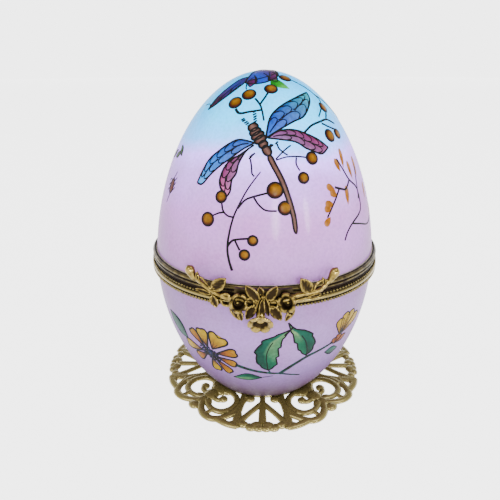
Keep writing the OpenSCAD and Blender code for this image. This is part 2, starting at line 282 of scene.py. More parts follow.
def swept(tree, lines, sides):
    """A bar along the lines, as thick as their half_width says, and that half width."""
    width = make(tree, "GeometryNodeInputNamedAttribute", {"Name": "half_width"}, data_type="FLOAT")
    radius = make(tree, "GeometryNodeSetCurveRadius", {"Curve": lines, "Radius": width})
    section = make(tree, "GeometryNodeCurvePrimitiveCircle", {"Resolution": sides, "Radius": 1.0}, mode="RADIUS")
    bar = make(tree, "GeometryNodeCurveToMesh", {
        "Curve": radius, "Profile Curve": section, "Scale": width, "Fill Caps": True})
    return bar, width


def ring_turn(tree, count):
    """The turn about the axis of each of count copies set evenly round a circle."""
    step = make(tree, "ShaderNodeMath", {0: 2 * math.pi, 1: count}, operation="DIVIDE")
    angle = make(tree, "ShaderNodeMath", {0: make(tree, "GeometryNodeInputIndex"), 1: step}, operation="MULTIPLY")
    return make(tree, "ShaderNodeCombineXYZ", {"Z": angle})


def grow(piece, tree, sizes):
    """Runs a tree on a piece with its sizes and keeps the result as the piece's plain mesh."""
    step = piece.modifiers.new(tree.name, "NODES")
    step.node_group = tree
    for socket in tree.interface.items_tree:
        if socket.in_out == "INPUT" and socket.name in sizes:
            step[socket.identifier] = sizes[socket.name]
    graph = bpy.context.evaluated_depsgraph_get()
    mesh = bpy.data.meshes.new_from_object(piece.evaluated_get(graph))
    piece.modifiers.clear()
    piece.data = mesh
    return mesh


def fit(piece, body, slot, *nodes):
    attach(piece, body)
    if nodes:
        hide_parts(*nodes)


def polar(deg, r, z=0.0):
    """A point in mm, degrees round from the front towards the right."""
    a = math.radians(deg)
    return Vector((r * math.sin(a), -r * math.cos(a), z))


def rounded(points, per=6):
    """A smooth curve through the points, with per steps between two of them."""
    last = len(points) - 1
    path = []
    for i in range(last):
        p = [points[max(0, min(last, i + k - 1))] for k in range(4)]
        for s in range(per):
            t = s / per
            path.append(0.5 * (2 * p[1] + (p[2] - p[0]) * t + (2 * p[0] - 5 * p[1] + 4 * p[2] - p[3]) * t * t
                               + (3 * p[1] - p[0] - 3 * p[2] + p[3]) * t ** 3))
    return path + [points[-1]]


def line_mesh(name, lines):
    """Loose lines for a tree to sweep. Each line is (points in mm, half widths in mm)."""
    points, edges, widths = [], [], []
    for path, halves in lines:
        first = len(points)
        points += [p * MM for p in path]
        widths += halves
        edges += [(i, i + 1) for i in range(first, len(points) - 1)]
    mesh = bpy.data.meshes.new(name)
    mesh.from_pydata(points, edges, [])
    store(mesh, "half_width", [half * MM for half in widths])
    return mesh


bar_sides = 12


def pressed_bar_tree():
    """Sweeps flat-bottomed, round-topped bars along lines on the table."""
    tree, given = node_tree("pressed_bars", {
        "Thickness": "Float", "Finish": "Material", "Panels": "Int", "Bosses": "Object"})
    bar, width = swept(tree, make(tree, "GeometryNodeMeshToCurve", {"Mesh": given["Geometry"]}), bar_sides)
    parts = make(tree, "ShaderNodeSeparateXYZ", {"Vector": make(tree, "GeometryNodeInputPosition")}, None)
    share = make(tree, "ShaderNodeMath", {0: parts["Z"], 1: width}, operation="DIVIDE")
    rise = make(tree, "ShaderNodeMapRange", {
        "From Min": -0.3, "From Max": 1.0, "Value": share, "To Max": given["Thickness"]})
    joined = make(tree, "ShaderNodeCombineXYZ", {"X": parts["X"], "Y": parts["Y"], "Z": rise})
    flat = make(tree, "GeometryNodeSetPosition", {"Geometry": bar, "Position": joined})
    bosses = make(tree, "GeometryNodeObjectInfo", {"Object": given["Bosses"]}, "Geometry")
    panel = make(tree, "GeometryNodeJoinGeometry", {"Geometry": [flat, bosses]})
    spots = make(tree, "GeometryNodeMeshLine", {"Offset": (0, 0, 0), "Count": given["Panels"]}, mode="OFFSET")
    repeat = make(tree, "GeometryNodeInstanceOnPoints", {
        "Points": spots, "Instance": panel, "Rotation": ring_turn(tree, given["Panels"])})
    return end_tree(tree, given, repeat)


def mesh_from(bm, name):
    """The mesh of a finished bmesh, smooth and with its faces outward."""
    bmesh.ops.recalc_face_normals(bm, faces=bm.faces)
    mesh = bpy.data.meshes.new(name)
    bm.to_mesh(mesh)
    bm.free()
    mesh.shade_smooth()
    return mesh


def band(bm, rows):
    """Faces between rings of points that follow each other."""
    for low, high in zip(rows, rows[1:]):
        for k in range(len(low)):
            n = (k + 1) % len(low)
            bm.faces.new((low[k], low[n], high[n], high[k]))


boss_rings = 3
boss_edge = 0.45


def boss(bm, centre, outline, height):
    """A low domed boss in mm with the outline given, closed underneath."""
    def set_down(point, z):
        return bm.verts.new((*(point.xy * MM), z * MM))

    top = set_down(centre, height)
    rows = []
    for k in range(1, boss_rings + 1):
        share = k / boss_rings
        z = height * (boss_edge + (1 - boss_edge) * math.sqrt(max(0.0, 1 - share ** 2.2)))
        rows.append([set_down(centre + (p - centre) * share, z) for p in outline])
    rows.append([set_down(p, 0.0) for p in outline])
    foot = set_down(centre, 0.0)
    for i in range(len(outline)):
        n = (i + 1) % len(outline)
        bm.faces.new((top, rows[0][i], rows[0][n]))
        for inner, outer in zip(rows, rows[1:]):
            bm.faces.new((inner[i], outer[i], outer[n], inner[n]))
        bm.faces.new((rows[-1][i], foot, rows[-1][n]))


outline_points = 14


def round_outline(centre, rx, ry, turn):
    """Points round an oval that is turned by turn degrees."""
    a0 = math.radians(turn)
    path = []
    for i in range(outline_points):
        a = 2 * math.pi * i / outline_points
        x, y = rx * math.cos(a), ry * math.sin(a)
        path.append(centre + Vector((x * math.cos(a0) - y * math.sin(a0), x * math.sin(a0) + y * math.cos(a0), 0)))
    return path


def stand_panel_point(panel_deg, side, u, v):
    """A point of a panel: u mm to the side and v mm out from the egg's axis."""
    out = polar(panel_deg, 1.0)
    across = polar(panel_deg + 90, 1.0)
    return out * v + across * u * side


bar_fullness = 1.32
rim_half = 1.12
bars, bm = [], bmesh.new()
spoke = [(0, 14.5), (0, 20), (0, 27.8)], [0.85, 0.95, 1.3]
fan_bars = (
    ([(0.3, 19.4), (2.2, 21.6), (4.6, 24.6), (7.0, 28.2)], [0.75, 0.7, 0.72, 0.9]),
    ([(5.3, 15.2), (6.4, 20.8), (7.3, 25.5), (7.6, 29.2)], [0.85, 0.75, 0.8, 1.05]),
    ([(5.9, 16.4), (3.8, 17.4)], [0.5, 0.5]),
)
scroll_bars = (
    ([(1.0, 21.8), (2.4, 22.3), (3.7, 21.9), (4.3, 20.9)], [0.6, 0.6, 0.65, 0.7]),
    ([(0.6, 16.6), (3.0, 16.9), (6.0, 17.2), (8.2, 18.9), (9.0, 21.8), (7.9, 24.6), (5.3, 25.7), (2.8, 25.3),
      (0.6, 24.3)], [0.65, 0.7, 0.75, 0.8, 0.85, 0.8, 0.75, 0.7, 0.6]),
    ([(0.3, 25.4), (2.4, 27.6), (5.3, 28.8), (8.3, 28.3), (10.1, 25.8), (10.4, 22.4), (9.7, 19.0), (8.8, 16.2)],
     [0.8, 0.85, 0.9, 0.9, 0.85, 0.8, 0.75, 0.7]),
    ([(5.3, 25.4), (5.4, 27.0), (5.4, 28.5)], [0.55, 0.5, 0.6]),
    ([(8.5, 22.6), (10.2, 23.4)], [0.55, 0.55]),
)
bars.append(([polar(0, v) for _, v in spoke[0]], spoke[1]))
for side in (-1, 1):
    for shapes, panel_deg in ((fan_bars, 0), (scroll_bars, 45)):
        for path, halves in shapes:
            smooth = rounded([stand_panel_point(panel_deg, side, u, v) for u, v in path], 4)
            spread = rounded([Vector((half, 0, 0)) for half in halves], 4)
            bars.append((smooth, [bar_fullness * s.x for s in spread]))
    rim = [(13.5, 29.5), (16, 29.6), (20, 29.5), (25.5, 29.0)]
    path = rounded([polar(side * deg, r) for deg, r in rim], 4)
    bars.append((path, [rim_half] * len(path)))
    for top, low in (((14.2, 29.2), (14.8, 24.6)), ((25, 28.8), (17.5, 25.2))):
        bars.append(([polar(side * top[0], top[1]), polar(side * low[0], low[1])], [0.8, 0.6]))
    for centre, rx, ry, turn, height in (
            (polar(side * 10.6, 28.5), 1.5, 1.25, 0, 1.0),
            (polar(side * 12, 17.6), 1.5, 1.4, 0, 0.95),
            (polar(side * 3.4, 28.4), 1.9, 1.55, side * -18, 1.0),
            (polar(side * 7.2, 28.9), 1.1, 1.3, side * 10, 0.8),
            (stand_panel_point(45, side, 4.2, 20.6), 1.35, 1.35, 0, 1.0),
            (stand_panel_point(45, side, 2.2, 17.6), 2.0, 1.5, 45 + side * 20, 0.95),
            (stand_panel_point(45, side, 2.0, 24.6), 1.8, 1.2, 45 - side * 30, 0.95)):
        boss(bm, centre, round_outline(centre, rx, ry, turn), height)
for v, rx, ry, height in ((18.4, 3.0, 2.4, 1.0), (21.8, 2.3, 2.9, 1.05), (25.2, 1.7, 2.3, 0.95), (28.2, 1.9, 1.6, 0.9)):
    centre = stand_panel_point(45, 1, 0, v)
    boss(bm, centre, round_outline(centre, rx, ry, 45), height)
for side in (-1, 1):
    plate = [polar(side * deg, r) for deg, r in corner_plate]
    centre = sum(plate, Vector()) / len(plate)
    boss(bm, centre, [a.lerp(b, t) for a, b in zip(plate, plate[1:] + plate[:1]) for t in (0, 0.34, 0.67)], 0.85)
for deg in (-6.2, -2.1, 2.1, 6.2):
    centre = polar(deg, 29.4)
    boss(bm, centre, round_outline(centre, 1.5, 1.15, deg), 0.95)
boss_guide = add_piece("stand_bosses", mesh_from(bm, "stand_bosses"))
stand_brass = brass("pressed stand brass", (0.152, 0.12, 0.035), (0.044, 0.035, 0.012), 900.0, 0.1, metallic=0.65)
stand_border = add_piece("stand_border", line_mesh("stand_border", bars))
grow(stand_border, pressed_bar_tree(), {
    "Thickness": (stand_top + 0.02) * MM, "Finish": stand_brass, "Panels": 4, "Bosses": boss_guide})
bpy.data.objects.remove(boss_guide)
stand_border.data.shade_smooth()
mark_relief(stand_border.data)
fit(stand_border, "bowl", "stand_brass", "filigree_stand")


def turned(name, profile, steps, closed=True):
    """A ring or shell turned round the egg's axis. The profile runs clockwise, (radius, height) in mm."""
    bm, rows = bmesh.new(), []
    for r, z in profile:
        if r < 1e-6:
            rows.append([bm.verts.new((0, 0, z * MM))] * steps)
        else:
            rows.append([bm.verts.new(polar(360 * k / steps, r, z) * MM) for k in range(steps)])
    for low, high in zip(rows, rows[1:] + (rows[:1] if closed else [])):
        for k in range(steps):
            n = (k + 1) % steps
            corners = list(dict.fromkeys((low[k], low[n], high[n], high[k])))
            if len(corners) > 2:
                bm.faces.new(corners)
    return mesh_from(bm, name)


# The plain middle of the stand, hidden under the foot of the egg.
hub = turned("stand_hub", [(0, 0), (hub_r - 0.2, 0), (hub_r, 0.25), (hub_r - 0.25, stand_top - 0.05),
                           (hub_r - 0.6, stand_top), (0, stand_top)], 96, closed=False)
hub.materials.append(stand_brass)
mark_relief(hub)
stand_hub = add_piece("stand_hub", hub)
fit(stand_hub, "bowl", "stand_brass", "filigree_stand")


# --- Bowl of the egg ---------------------------------------------------------
# Cast porcelain, glazed white inside and airbrushed lilac outside under a clear glaze. The lilac darkens towards the
# foot as painted shade.
# It stands on a foot ring and is cemented to the stand.
egg_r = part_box("bowl_shell")[1][0] / MM
crown_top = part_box("lid_shell")[1][2] / MM
waist_z = 39.0
crown_h = crown_top - waist_z
bowl_depth = 45.8
fullness = 1.85
wall = 2.5


def srgb(red, green, blue):
    """Paint that looks this colour, 0 to 255, under the lamps of this scene."""
    channels = []
    for v in (red, green, blue):
        v /= 255
        v = v / 12.92 if v <= 0.04045 else ((v + 0.055) / 1.055) ** 2.4
        channels.append(v / (1 - v ** 1.5))
    mean = sum(channels) / 3
    push = 1 + 0.12 * max(channels)
    # No glaze gives back more light than falls on it, so the paint stops short of full reflection.
    return tuple(min(0.95, max(0.003, (mean + push * (v - mean) - 0.05) / lamp_level)) for v in channels)


def from_waist(z):
    """The share of the way from the waist to the end of the egg, and that whole way in mm."""
    depth = crown_h if z >= waist_z else bowl_depth
    return abs(z - waist_z) / depth, depth


def egg_at(z):
    return egg_r * math.sqrt(max(0.0, 1 - from_waist(z)[0] ** fullness))


def egg_slopes(r, z):
    """How fast the egg's own equation grows outwards and upwards."""
    share, depth = from_waist(z)
    return 2 * r / egg_r ** 2, math.copysign(fullness * share ** (fullness - 1) / depth, z - waist_z)


def egg_profile(z0, z1, inset, steps):
    """Points of the egg's outline from z0 up to z1, moved inwards by inset."""
    def sweep(z):
        return math.copysign(math.asin(min(1.0, from_waist(z)[0] ** (fullness / 2))), z - waist_z)
    a0, a1 = sweep(z0), sweep(z1)
    points = []
    for i in range(steps + 1):
        a = a0 + (a1 - a0) * i / steps
        lift = abs(math.sin(a)) ** (2 / fullness)
        z = waist_z + (crown_h if a >= 0 else -bowl_depth) * lift
        r = egg_r * math.cos(a)
        normal = egg_normal_rz(r, z)
        points.append((max(0.0, r - inset * normal[0]), z - inset * normal[1]))
    return points


def egg_normal_rz(r, z):
    nr, nz = egg_slopes(r, z)
    length = math.hypot(nr, nz)
    return nr / length, nz / length


# The glossy coat comes up to its full weight between these two heights in mm.
dull_z, glossy_z, coat_most = 14, 34, 0.2


def multiplied(tree, a, b, clamp=False):
    """One colour times another."""
    return make(tree, "ShaderNodeMix", {"Factor": 1.0, 6: a, 7: b}, 2, data_type="RGBA", blend_type="MULTIPLY",
                clamp_result=clamp)


def glaze(name, stops, low, high, sway):
    """Airbrushed colour under a clear glossy glaze, darkened towards its outline as painted shade, white where the mask
    says it is the inside.
    """
    material, tree = own_material(name)
    height = make(tree, "ShaderNodeSeparateXYZ", {"Vector": make(tree, "ShaderNodeTexCoord", out="Object")}, "Z")
    cloud = object_noise(tree, 45.0, 2.0)
    drift = make(tree, "ShaderNodeMath", {0: cloud, 1: sway * MM, 2: height}, operation="MULTIPLY_ADD")
    level = make(tree, "ShaderNodeMapRange", {"From Min": low * MM, "From Max": high * MM, "Value": drift})
    stipple = colour_ramp(tree, object_noise(tree, 1400.0, 2.0), [(0.3, (0.9, 0.88, 0.9)), (0.65, (1.05, 1.03, 1.05))])
    blush = colour_ramp(tree, object_noise(tree, 75.0, 3.0),
                        [(0.35, (1.06, 1.0, 1.1)), (0.5, (1, 1, 1)), (0.66, (0.97, 0.86, 0.93))])
    shade = multiplied(tree, colour_ramp(tree, level, stops), multiplied(tree, stipple, blush))
    # Painted shade: the colour darkens where the surface turns away from the camera, towards the egg's outline.
    slant = make(tree, "ShaderNodeLayerWeight", out="Facing")
    painted_edge_shade = colour_ramp(tree, slant, [(0.4, (1, 1, 1)), (0.95, (0.68, 0.64, 0.7))])
    body = multiplied(tree, shade, painted_edge_shade, clamp=True)
    inside = make(tree, "ShaderNodeAttribute", out="Fac", attribute_name="inside")
    skin = make(tree, "ShaderNodeMix", {"Factor": inside, 6: body, 7: (0.52, 0.505, 0.47, 1)}, 2, data_type="RGBA")
    gloss = make(tree, "ShaderNodeMapRange", {
        "From Min": dull_z * MM, "From Max": glossy_z * MM, "To Max": coat_most, "Value": height})
    wet = make(tree, "ShaderNodeMath", {0: inside, 1: 0.5, 2: gloss}, operation="MULTIPLY_ADD")
    ripple = make(tree, "ShaderNodeBump", {
        "Strength": 0.12, "Distance": 0.2 * MM, "Height": object_noise(tree, 160.0, 1.0)})
    return surface(material, {
        "Base Color": skin, "Roughness": 0.6, "Specular IOR Level": 0.04, "Coat Weight": wet, "Coat Roughness": 0.12,
        "Coat IOR": 1.4, "Normal": ripple, "Coat Normal": ripple})


def mark_inside(mesh, first):
    """Marks the points of a turned shell from the first on as its white inside."""
    store(mesh, "inside", [float(i >= first) for i in range(len(mesh.vertices))])


egg_steps = 192
foot_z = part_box("bowl_shell")[0][2] / MM
bowl_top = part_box("bowl_shell")[1][2] / MM
foot_r = egg_at(foot_z)
floor_z = foot_z + 3.2
recess_z = foot_z + 0.8
outer = egg_profile(foot_z + 0.5, bowl_top, 0, 60)
inner = [p for p in egg_profile(floor_z - 3.0, bowl_top, wall, 44) if p[1] > floor_z + 1.6 and p[1] < bowl_top]
floor_r = inner[0][0]
dish = [(floor_r - 0.7, floor_z + 0.9), (floor_r - 2.0, floor_z + 0.35), (floor_r * 0.6, floor_z), (0, floor_z)]
bowl_profile = ([(0, recess_z), (foot_r - 3.0, recess_z), (foot_r - 2.8, foot_z + 0.1), (foot_r - 2.6, foot_z),
                 (foot_r - 0.7, foot_z), (foot_r - 0.15, foot_z + 0.15)] + outer
                + [(inner[-1][0], bowl_top)] + inner[::-1] + dish)
bowl_mesh = turned("bowl_glaze", bowl_profile, egg_steps, closed=False)
mark_inside(bowl_mesh, (6 + len(outer)) * egg_steps)
# The lowest stops, darker towards the foot, are painted shade on the lilac.
lilac_and_painted_shade_stops = [(0.0, srgb(100, 86, 90)), (0.14, srgb(122, 108, 118)), (0.4, srgb(148, 128, 164)),
               (0.7, srgb(162, 139, 176)), (1.0, srgb(160, 136, 172))]
bowl_mesh.materials.append(glaze("lilac glaze with painted shade", lilac_and_painted_shade_stops, 2, 40, 4))
bowl_glaze = add_piece("bowl_glaze", bowl_mesh)
fit(bowl_glaze, "bowl", "bowl_porcelain", "bowl_shell")


# --- Lid of the egg ----------------------------------------------------------
# The upper half, cast and glazed as the bowl is. It is lilac at the rim and fades
# through a pale band to sky blue at the crown.
lid_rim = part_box("lid_shell")[0][2] / MM
outer = egg_profile(lid_rim, crown_top, 0, 96)
inner = [p for p in egg_profile(lid_rim, crown_top, wall, 72) if p[1] > lid_rim + 0.1]
lid_profile = outer + inner[::-1] + [(inner[0][0], lid_rim)]
lid_mesh = turned("lid_glaze", lid_profile, egg_steps)
mark_inside(lid_mesh, (len(outer) - 1) * egg_steps + 1)
sky_stops = [(0.0, srgb(152, 128, 164)), (0.12, srgb(177, 148, 184)), (0.4, srgb(188, 156, 196)),
             (0.6, srgb(196, 176, 212)), (0.68, srgb(208, 196, 228)), (0.76, srgb(176, 206, 230)),
             (0.86, srgb(84, 210, 232)), (1.0, srgb(40, 208, 232))]
lid_mesh.materials.append(glaze("sky glaze with painted shade", sky_stops, 44, 93, 9))
lid_glaze = add_piece("lid_glaze", lid_mesh)
fit(lid_glaze, "lid", "lid_porcelain", "lid_shell")


# --- Painted decoration: brushes --------------------------------------------
# The flowers, berries and insects are enamels laid on the fired glaze by hand and fired again,
# so every stroke stands a few hundredths of a millimetre proud of the glaze.
enamel_t = 0.05
sunk = -0.04
pen_half = 0.6
pen_step = 0.4
stroke_sides = 8
tooth_bite = 0.13


def mixed(a, b, share):
    share = min(1.0, max(0.0, share))
    return tuple(x + (y - x) * share for x, y in zip(a, b))


def blended(colours, share):
    """The colour at a share of the way along a list of colours."""
    place = min(1.0, max(0.0, share)) * (len(colours) - 1)
    low = min(int(place), len(colours) - 2)
    return mixed(colours[low], colours[low + 1], place - low)


def on_egg(spot):
    deg, z = spot
    return polar(deg, egg_at(z), z)


def settle(point, lift):
    """Moves a point in mm to stand lift mm off the egg's surface."""
    r, z = math.hypot(point.x, point.y), point.z
    deg = math.atan2(point.x, -point.y)
    for _ in range(3):
        miss = (r / egg_r) ** 2 + from_waist(z)[0] ** fullness - 1
        slope_r, slope_z = egg_slopes(r, z)
        step = miss / (slope_r ** 2 + slope_z ** 2)
        r, z = r - step * slope_r, z - step * slope_z
    normal = egg_normal_rz(r, z)
    return polar(math.degrees(deg), r + lift * normal[0], z + lift * normal[1])


class Enamel:
    """One enamel colour group: coloured patches that end up as one mesh."""

    def __init__(self):
        self.bm = bmesh.new()
        self.paint = self.bm.verts.layers.float_color.new("paint")

    def point(self, where, lift, colour):
        vert = self.bm.verts.new(settle(where, lift) * MM)
        vert[self.paint] = (*colour, 1)
        return vert

    def petal(self, left, right, colour_of, lift=enamel_t, across=5):
        """A patch between two edges that run the same way. colour_of takes shares along and across."""
        rows, feet = [], []
        last = len(left) - 1
        for i, (a, b) in enumerate(zip(left, right)):
            row = []
            for k in range(across + 1):
                share = k / across
                edge = min(share, 1 - share, i / last, 1 - i / last)
                height = lift * (0.35 + 0.65 * min(1.0, 6 * edge))
                row.append(self.point(a.lerp(b, share), height, colour_of(i / last, share)))
            rows.append(row)
            feet.append((self.point(a, sunk, colour_of(i / last, 0)), self.point(b, sunk, colour_of(i / last, 1))))
        face = self.bm.faces.new
        for (low, high), (low_feet, high_feet) in zip(zip(rows, rows[1:]), zip(feet, feet[1:])):
            for k in range(across):
                face((low[k], low[k + 1], high[k + 1], high[k]))
            face((low_feet[0], high_feet[0], high_feet[1], low_feet[1]))
            face((low_feet[0], low[0], high[0], high_feet[0]))
            face((low[-1], low_feet[1], high_feet[1], high[-1]))
        for row, (a, b) in ((rows[0][::-1], feet[0][::-1]), (rows[-1], feet[-1])):
            face((*row, b, a))

    def finish(self, name, material, body, slot):
        bmesh.ops.remove_doubles(self.bm, verts=self.bm.verts, dist=0.002 * MM)
        mesh = mesh_from(self.bm, name)
        mesh.materials.append(material)
        fit(add_piece(name, mesh), body, slot)


def enamel(name, roughness=0.4, streak=0.16, depth=0.62):
    """Translucent enamel: the stored paint colour, streaked by the brush, under a faint gloss."""
    material, tree = own_material(name)
    brush = object_noise(tree, 1100.0, 4.0)
    streaks = colour_ramp(tree, brush,
                          [(0.3, (depth - streak,) * 3), (0.55, (depth,) * 3), (0.75, (depth + streak,) * 3)])
    paint = make(tree, "ShaderNodeAttribute", out="Color", attribute_name="paint")
    relief = make(tree, "ShaderNodeBump", {"Strength": 0.25, "Distance": 0.03 * MM, "Height": brush})
    return surface(material, {
        "Base Color": multiplied(tree, paint, streaks), "Roughness": roughness, "Specular IOR Level": 0.03,
        "Coat Weight": 0.03, "Coat Roughness": 0.15, "Normal": relief})


def ink_paint(name, thick, thin):
    """Line colour that is darker where the pen pooled."""
    material, tree = own_material(name)
    return surface(material, {
        "Base Color": colour_ramp(tree, object_noise(tree, 700.0, 2.0), [(0.4, thick), (0.7, thin)]),
        "Roughness": 0.5, "Specular IOR Level": 0.05})


def nearest(tree, surface_of, value):
    """What the value is at the nearest spot of a surface."""
    return make(tree, "GeometryNodeSampleNearestSurface", {"Mesh": surface_of, "Value": value},
                data_type="FLOAT_VECTOR")


def brush_tree():
    """Lays tapering strokes on a surface: each line is dropped onto it, swept and pressed flat."""
    tree, given = node_tree("brush_strokes", {
        "Surface": "Object", "Step": "Float", "Lift": "Float", "Sunk": "Float", "Finish": "Material"})
    glazed = make(tree, "GeometryNodeObjectInfo", {"Object": given["Surface"]}, "Geometry")
    lines = make(tree, "GeometryNodeMeshToCurve", {"Mesh": given["Geometry"]})
    steps = make(tree, "GeometryNodeResampleCurve", {"Curve": lines, "Length": given["Step"]}, mode="LENGTH")

    def kept(geometry, name, value):
        return make(tree, "GeometryNodeStoreNamedAttribute", {"Geometry": geometry, "Name": name, "Value": value},
                    data_type="FLOAT_VECTOR")

    def named(name):
        return make(tree, "GeometryNodeInputNamedAttribute", {"Name": name}, data_type="FLOAT_VECTOR")

    def vector(operation, a, b, socket=1, out="Vector"):
        return make(tree, "ShaderNodeVectorMath", {0: a, socket: b}, out, operation=operation)

    place = make(tree, "GeometryNodeInputPosition")
    normal = make(tree, "GeometryNodeInputNormal")
    dropped = make(tree, "GeometryNodeSetPosition", {"Geometry": steps, "Position": nearest(tree, glazed, place)})
    marked = kept(kept(dropped, "foot", place), "up", nearest(tree, glazed, normal))
    bar, half_width = swept(tree, marked, stroke_sides)
    raised = vector("DOT_PRODUCT", vector("SUBTRACT", place, named("foot")), named("up"), out="Value")
    share = make(tree, "ShaderNodeMath", {0: raised, 1: half_width}, operation="DIVIDE")
    rise = make(tree, "ShaderNodeMapRange", {
        "From Min": -1.0, "From Max": 0.8, "Value": share, "To Min": given["Sunk"], "To Max": given["Lift"]})
    lift = vector("SCALE", nearest(tree, glazed, normal), rise, "Scale")
    pressed = make(tree, "GeometryNodeSetPosition", {
        "Geometry": bar, "Position": vector("ADD", nearest(tree, glazed, place), lift)})
    return end_tree(tree, given, make(tree, "GeometryNodeRemoveAttribute", {"Geometry": pressed, "Name": "foot"}))


brush_strokes = brush_tree()


def laid_strokes(name, lines, glazed, paint, body, slot, lift=0.075):
    piece = add_piece(name, line_mesh(name, lines))
    grow(piece, brush_strokes, {"Surface": glazed, "Step": pen_step * MM, "Lift": lift * MM, "Sunk": sunk * MM,
                                "Finish": paint})
    piece.data.shade_smooth()
    fit(piece, body, slot)
    return piece


def stroke(spots, wide, thin=None, per=6):
    """A line through (degrees, height) spots that thins from one width to the other, in mm."""
    thin = wide if thin is None else thin
    path = rounded([on_egg(spot) for spot in spots], per)
    last = len(path) - 1
    return path, [pen_half * (wide + (thin - wide) * i / last) for i in range(last + 1)]


def pen_line(path, width):
    return path, [0.5 * width] * len(path)


def loop(path, width):
    """A closed outline of even width."""
    return pen_line(path + path[:2], width)


def upward(point):
    """The way straight off the egg at a point."""
    return (settle(point, 1.0) - settle(point, 0.0)).normalized()


def lengthwise(colours):
    return lambda t, s: blended(colours, t)


def crosswise(colours):
    return lambda t, s: blended(colours, s)


def edges_of(base, left, tip, right, per=6):
    """The two edges of a leaf or wing, from its base to its tip, through the spots on each side."""
    start, end = on_egg(base), on_egg(tip)
    return (rounded([start] + [on_egg(s) for s in left] + [end], per),
            rounded([start] + [on_egg(s) for s in right] + [end], per))


def even(path, count):
    """The path again, as count + 1 evenly spaced points."""
    spans = [(b - a).length for a, b in zip(path, path[1:])]
    total, points, i, gone = sum(spans), [], 0, 0.0
    for k in range(count + 1):
        goal = total * k / count
        while i < len(spans) - 1 and gone + spans[i] < goal:
            gone += spans[i]
            i += 1
        points.append(path[i].lerp(path[i + 1], min(1.0, (goal - gone) / max(spans[i], 1e-9))))
    return points


def leaf_shape(enamels, ink, base, left, tip, right, colour_of, outline=0.3, length_steps=18, teeth=0, **more):
    """One outlined leaf, petal or wing. Returns its edges, for the lines drawn on it."""
    a, b = edges_of(base, left, tip, right)
    a, b = even(a, length_steps), even(b, length_steps)
    for i in range(2, length_steps - 1):
        bite = tooth_bite * ((i * teeth / length_steps) % 1.0) if teeth else 0.0
        a[i], b[i] = a[i].lerp(b[i], bite), b[i].lerp(a[i], bite)
    enamels.petal(a, b, colour_of, **more)
    if outline:
        ink += [pen_line(a, outline), pen_line(b, outline)]
    return a, b


def side_step(a, b, share, width):
    """A spot beside the line from a to b, width degrees across and to its left."""
    mid = (a[0] + (b[0] - a[0]) * share, a[1] + (b[1] - a[1]) * share)
    run, climb = b[0] - a[0], (b[1] - a[1]) * 2
    length = math.hypot(run, climb)
    return mid[0] - width * climb / length, mid[1] + 0.5 * width * run / length


def blade(draw, base, tip, bulges, colour_of, end=None, **more):
    """Draws a leaf or petal from base to tip. Each bulge is (share of the way along, half width in degrees)."""
    left, right = ([side_step(base, tip, share, side * width) for share, width in bulges] for side in (1, -1))
    return draw(base, left, end or tip, right, colour_of, **more)


# --- Painted decoration on the lid -------------------------------------------
# A dragonfly hangs over sprays of round berries on black twigs, with a dark butterfly
# on the crown, a beetle on the left and gold brushed buds on the right.
lid_enamels, lid_ink, lid_fine = Enamel(), [], []
on_lid = partial(leaf_shape, lid_enamels, lid_ink)
sky_wing = [srgb(80, 126, 194), srgb(54, 118, 190), srgb(76, 154, 208), srgb(138, 190, 218)]
sea_wing = [srgb(74, 144, 208), srgb(14, 114, 192), srgb(14, 124, 184), srgb(24, 164, 190), srgb(66, 190, 194)]
rose_wing = [srgb(138, 100, 152), srgb(154, 88, 134), srgb(166, 92, 138), srgb(210, 154, 190)]
plum_wing = [srgb(162, 120, 168), srgb(152, 94, 140), srgb(154, 80, 126), srgb(166, 94, 138)]


def along(colours, pale_edge=0.1):
    """Colour along a wing, paler towards one edge."""
    def colour_of(length_share, width_share):
        return mixed(blended(colours, length_share), srgb(214, 220, 240), pale_edge * width_share)
    return colour_of


wings = (
    ((1, 77), [(1.5, 78.5), (4.5, 81.5), (14, 83.6), (31.5, 85.2)], (52, 86.1),
     [(13, 79.2), (21.5, 80.3), (31, 81.2), (41, 83.2), (49, 84.8)], sea_wing),
    ((2, 77), [(9, 78.4), (19.5, 78.6), (28.5, 77.6), (37, 76)], (42.5, 74.2),
     [(11.5, 76.6), (20, 76), (25.5, 74.6), (30.5, 73.8), (36, 73)], plum_wing),
    ((-6, 76), [(-16, 76.6), (-22, 75.7), (-28, 74), (-34, 71.5)], (-38, 66.5),
     [(-13, 74.6), (-19.5, 72.6), (-25, 70.9), (-30, 68.8), (-34.5, 66.3)], sky_wing),
    ((-6.5, 75.5), [(-14.5, 73.4), (-20, 72), (-23, 70), (-23.8, 67)], (-19.6, 64),
     [(-11, 74.2), (-14.4, 71.6), (-15.2, 69.4), (-17.2, 68), (-17.4, 65.5)], rose_wing),
)


def cells(ink, a, b, width):
    """Two rows of scale-like cells between the edges a and b of a wing, bulging towards its tip."""
    middle = [p.lerp(q, 0.5) for p, q in zip(a, b)]
    for edge, places in ((a, (6, 9, 12, 15, 18, 20)), (b, (7, 12, 16, 19))):
        for low, reach in zip((places[0] - 3, *places), places):
            rim, spine = edge[reach + 1], middle[reach + 1]
            hook = [edge[reach - 1], rim.lerp(spine, 0.35), rim.lerp(spine, 0.8), middle[reach - 1],
                    middle[low + 1].lerp(edge[low + 1], 0.08)]
            ink.append(pen_line(rounded(hook, 4), width))
    ink.append(pen_line(middle[2:7], width))


def oval(enamels, ink, centre, along, half_long, half_wide, colours, lift=0.09, outline=0.5):
    """A rounded blob with a dark outline, long in one direction."""
    across = upward(centre).cross(along).normalized()
    arc = [math.pi * i / 10 for i in range(11)]
    left = [centre - along * half_long * math.cos(a) + across * half_wide * math.sin(a) for a in arc]
    right = [centre - along * half_long * math.cos(a) - across * half_wide * math.sin(a) for a in arc]
    enamels.petal(left, right, crosswise(colours), lift=lift, across=4)
    ink.append(loop(left + right[-2:0:-1], outline))


for base, left, tip, right, colours in wings:
    a, b = on_lid(base, left, tip, right, along(colours), outline=0.46, length_steps=24)
    cells(lid_ink, a, b, 0.34)

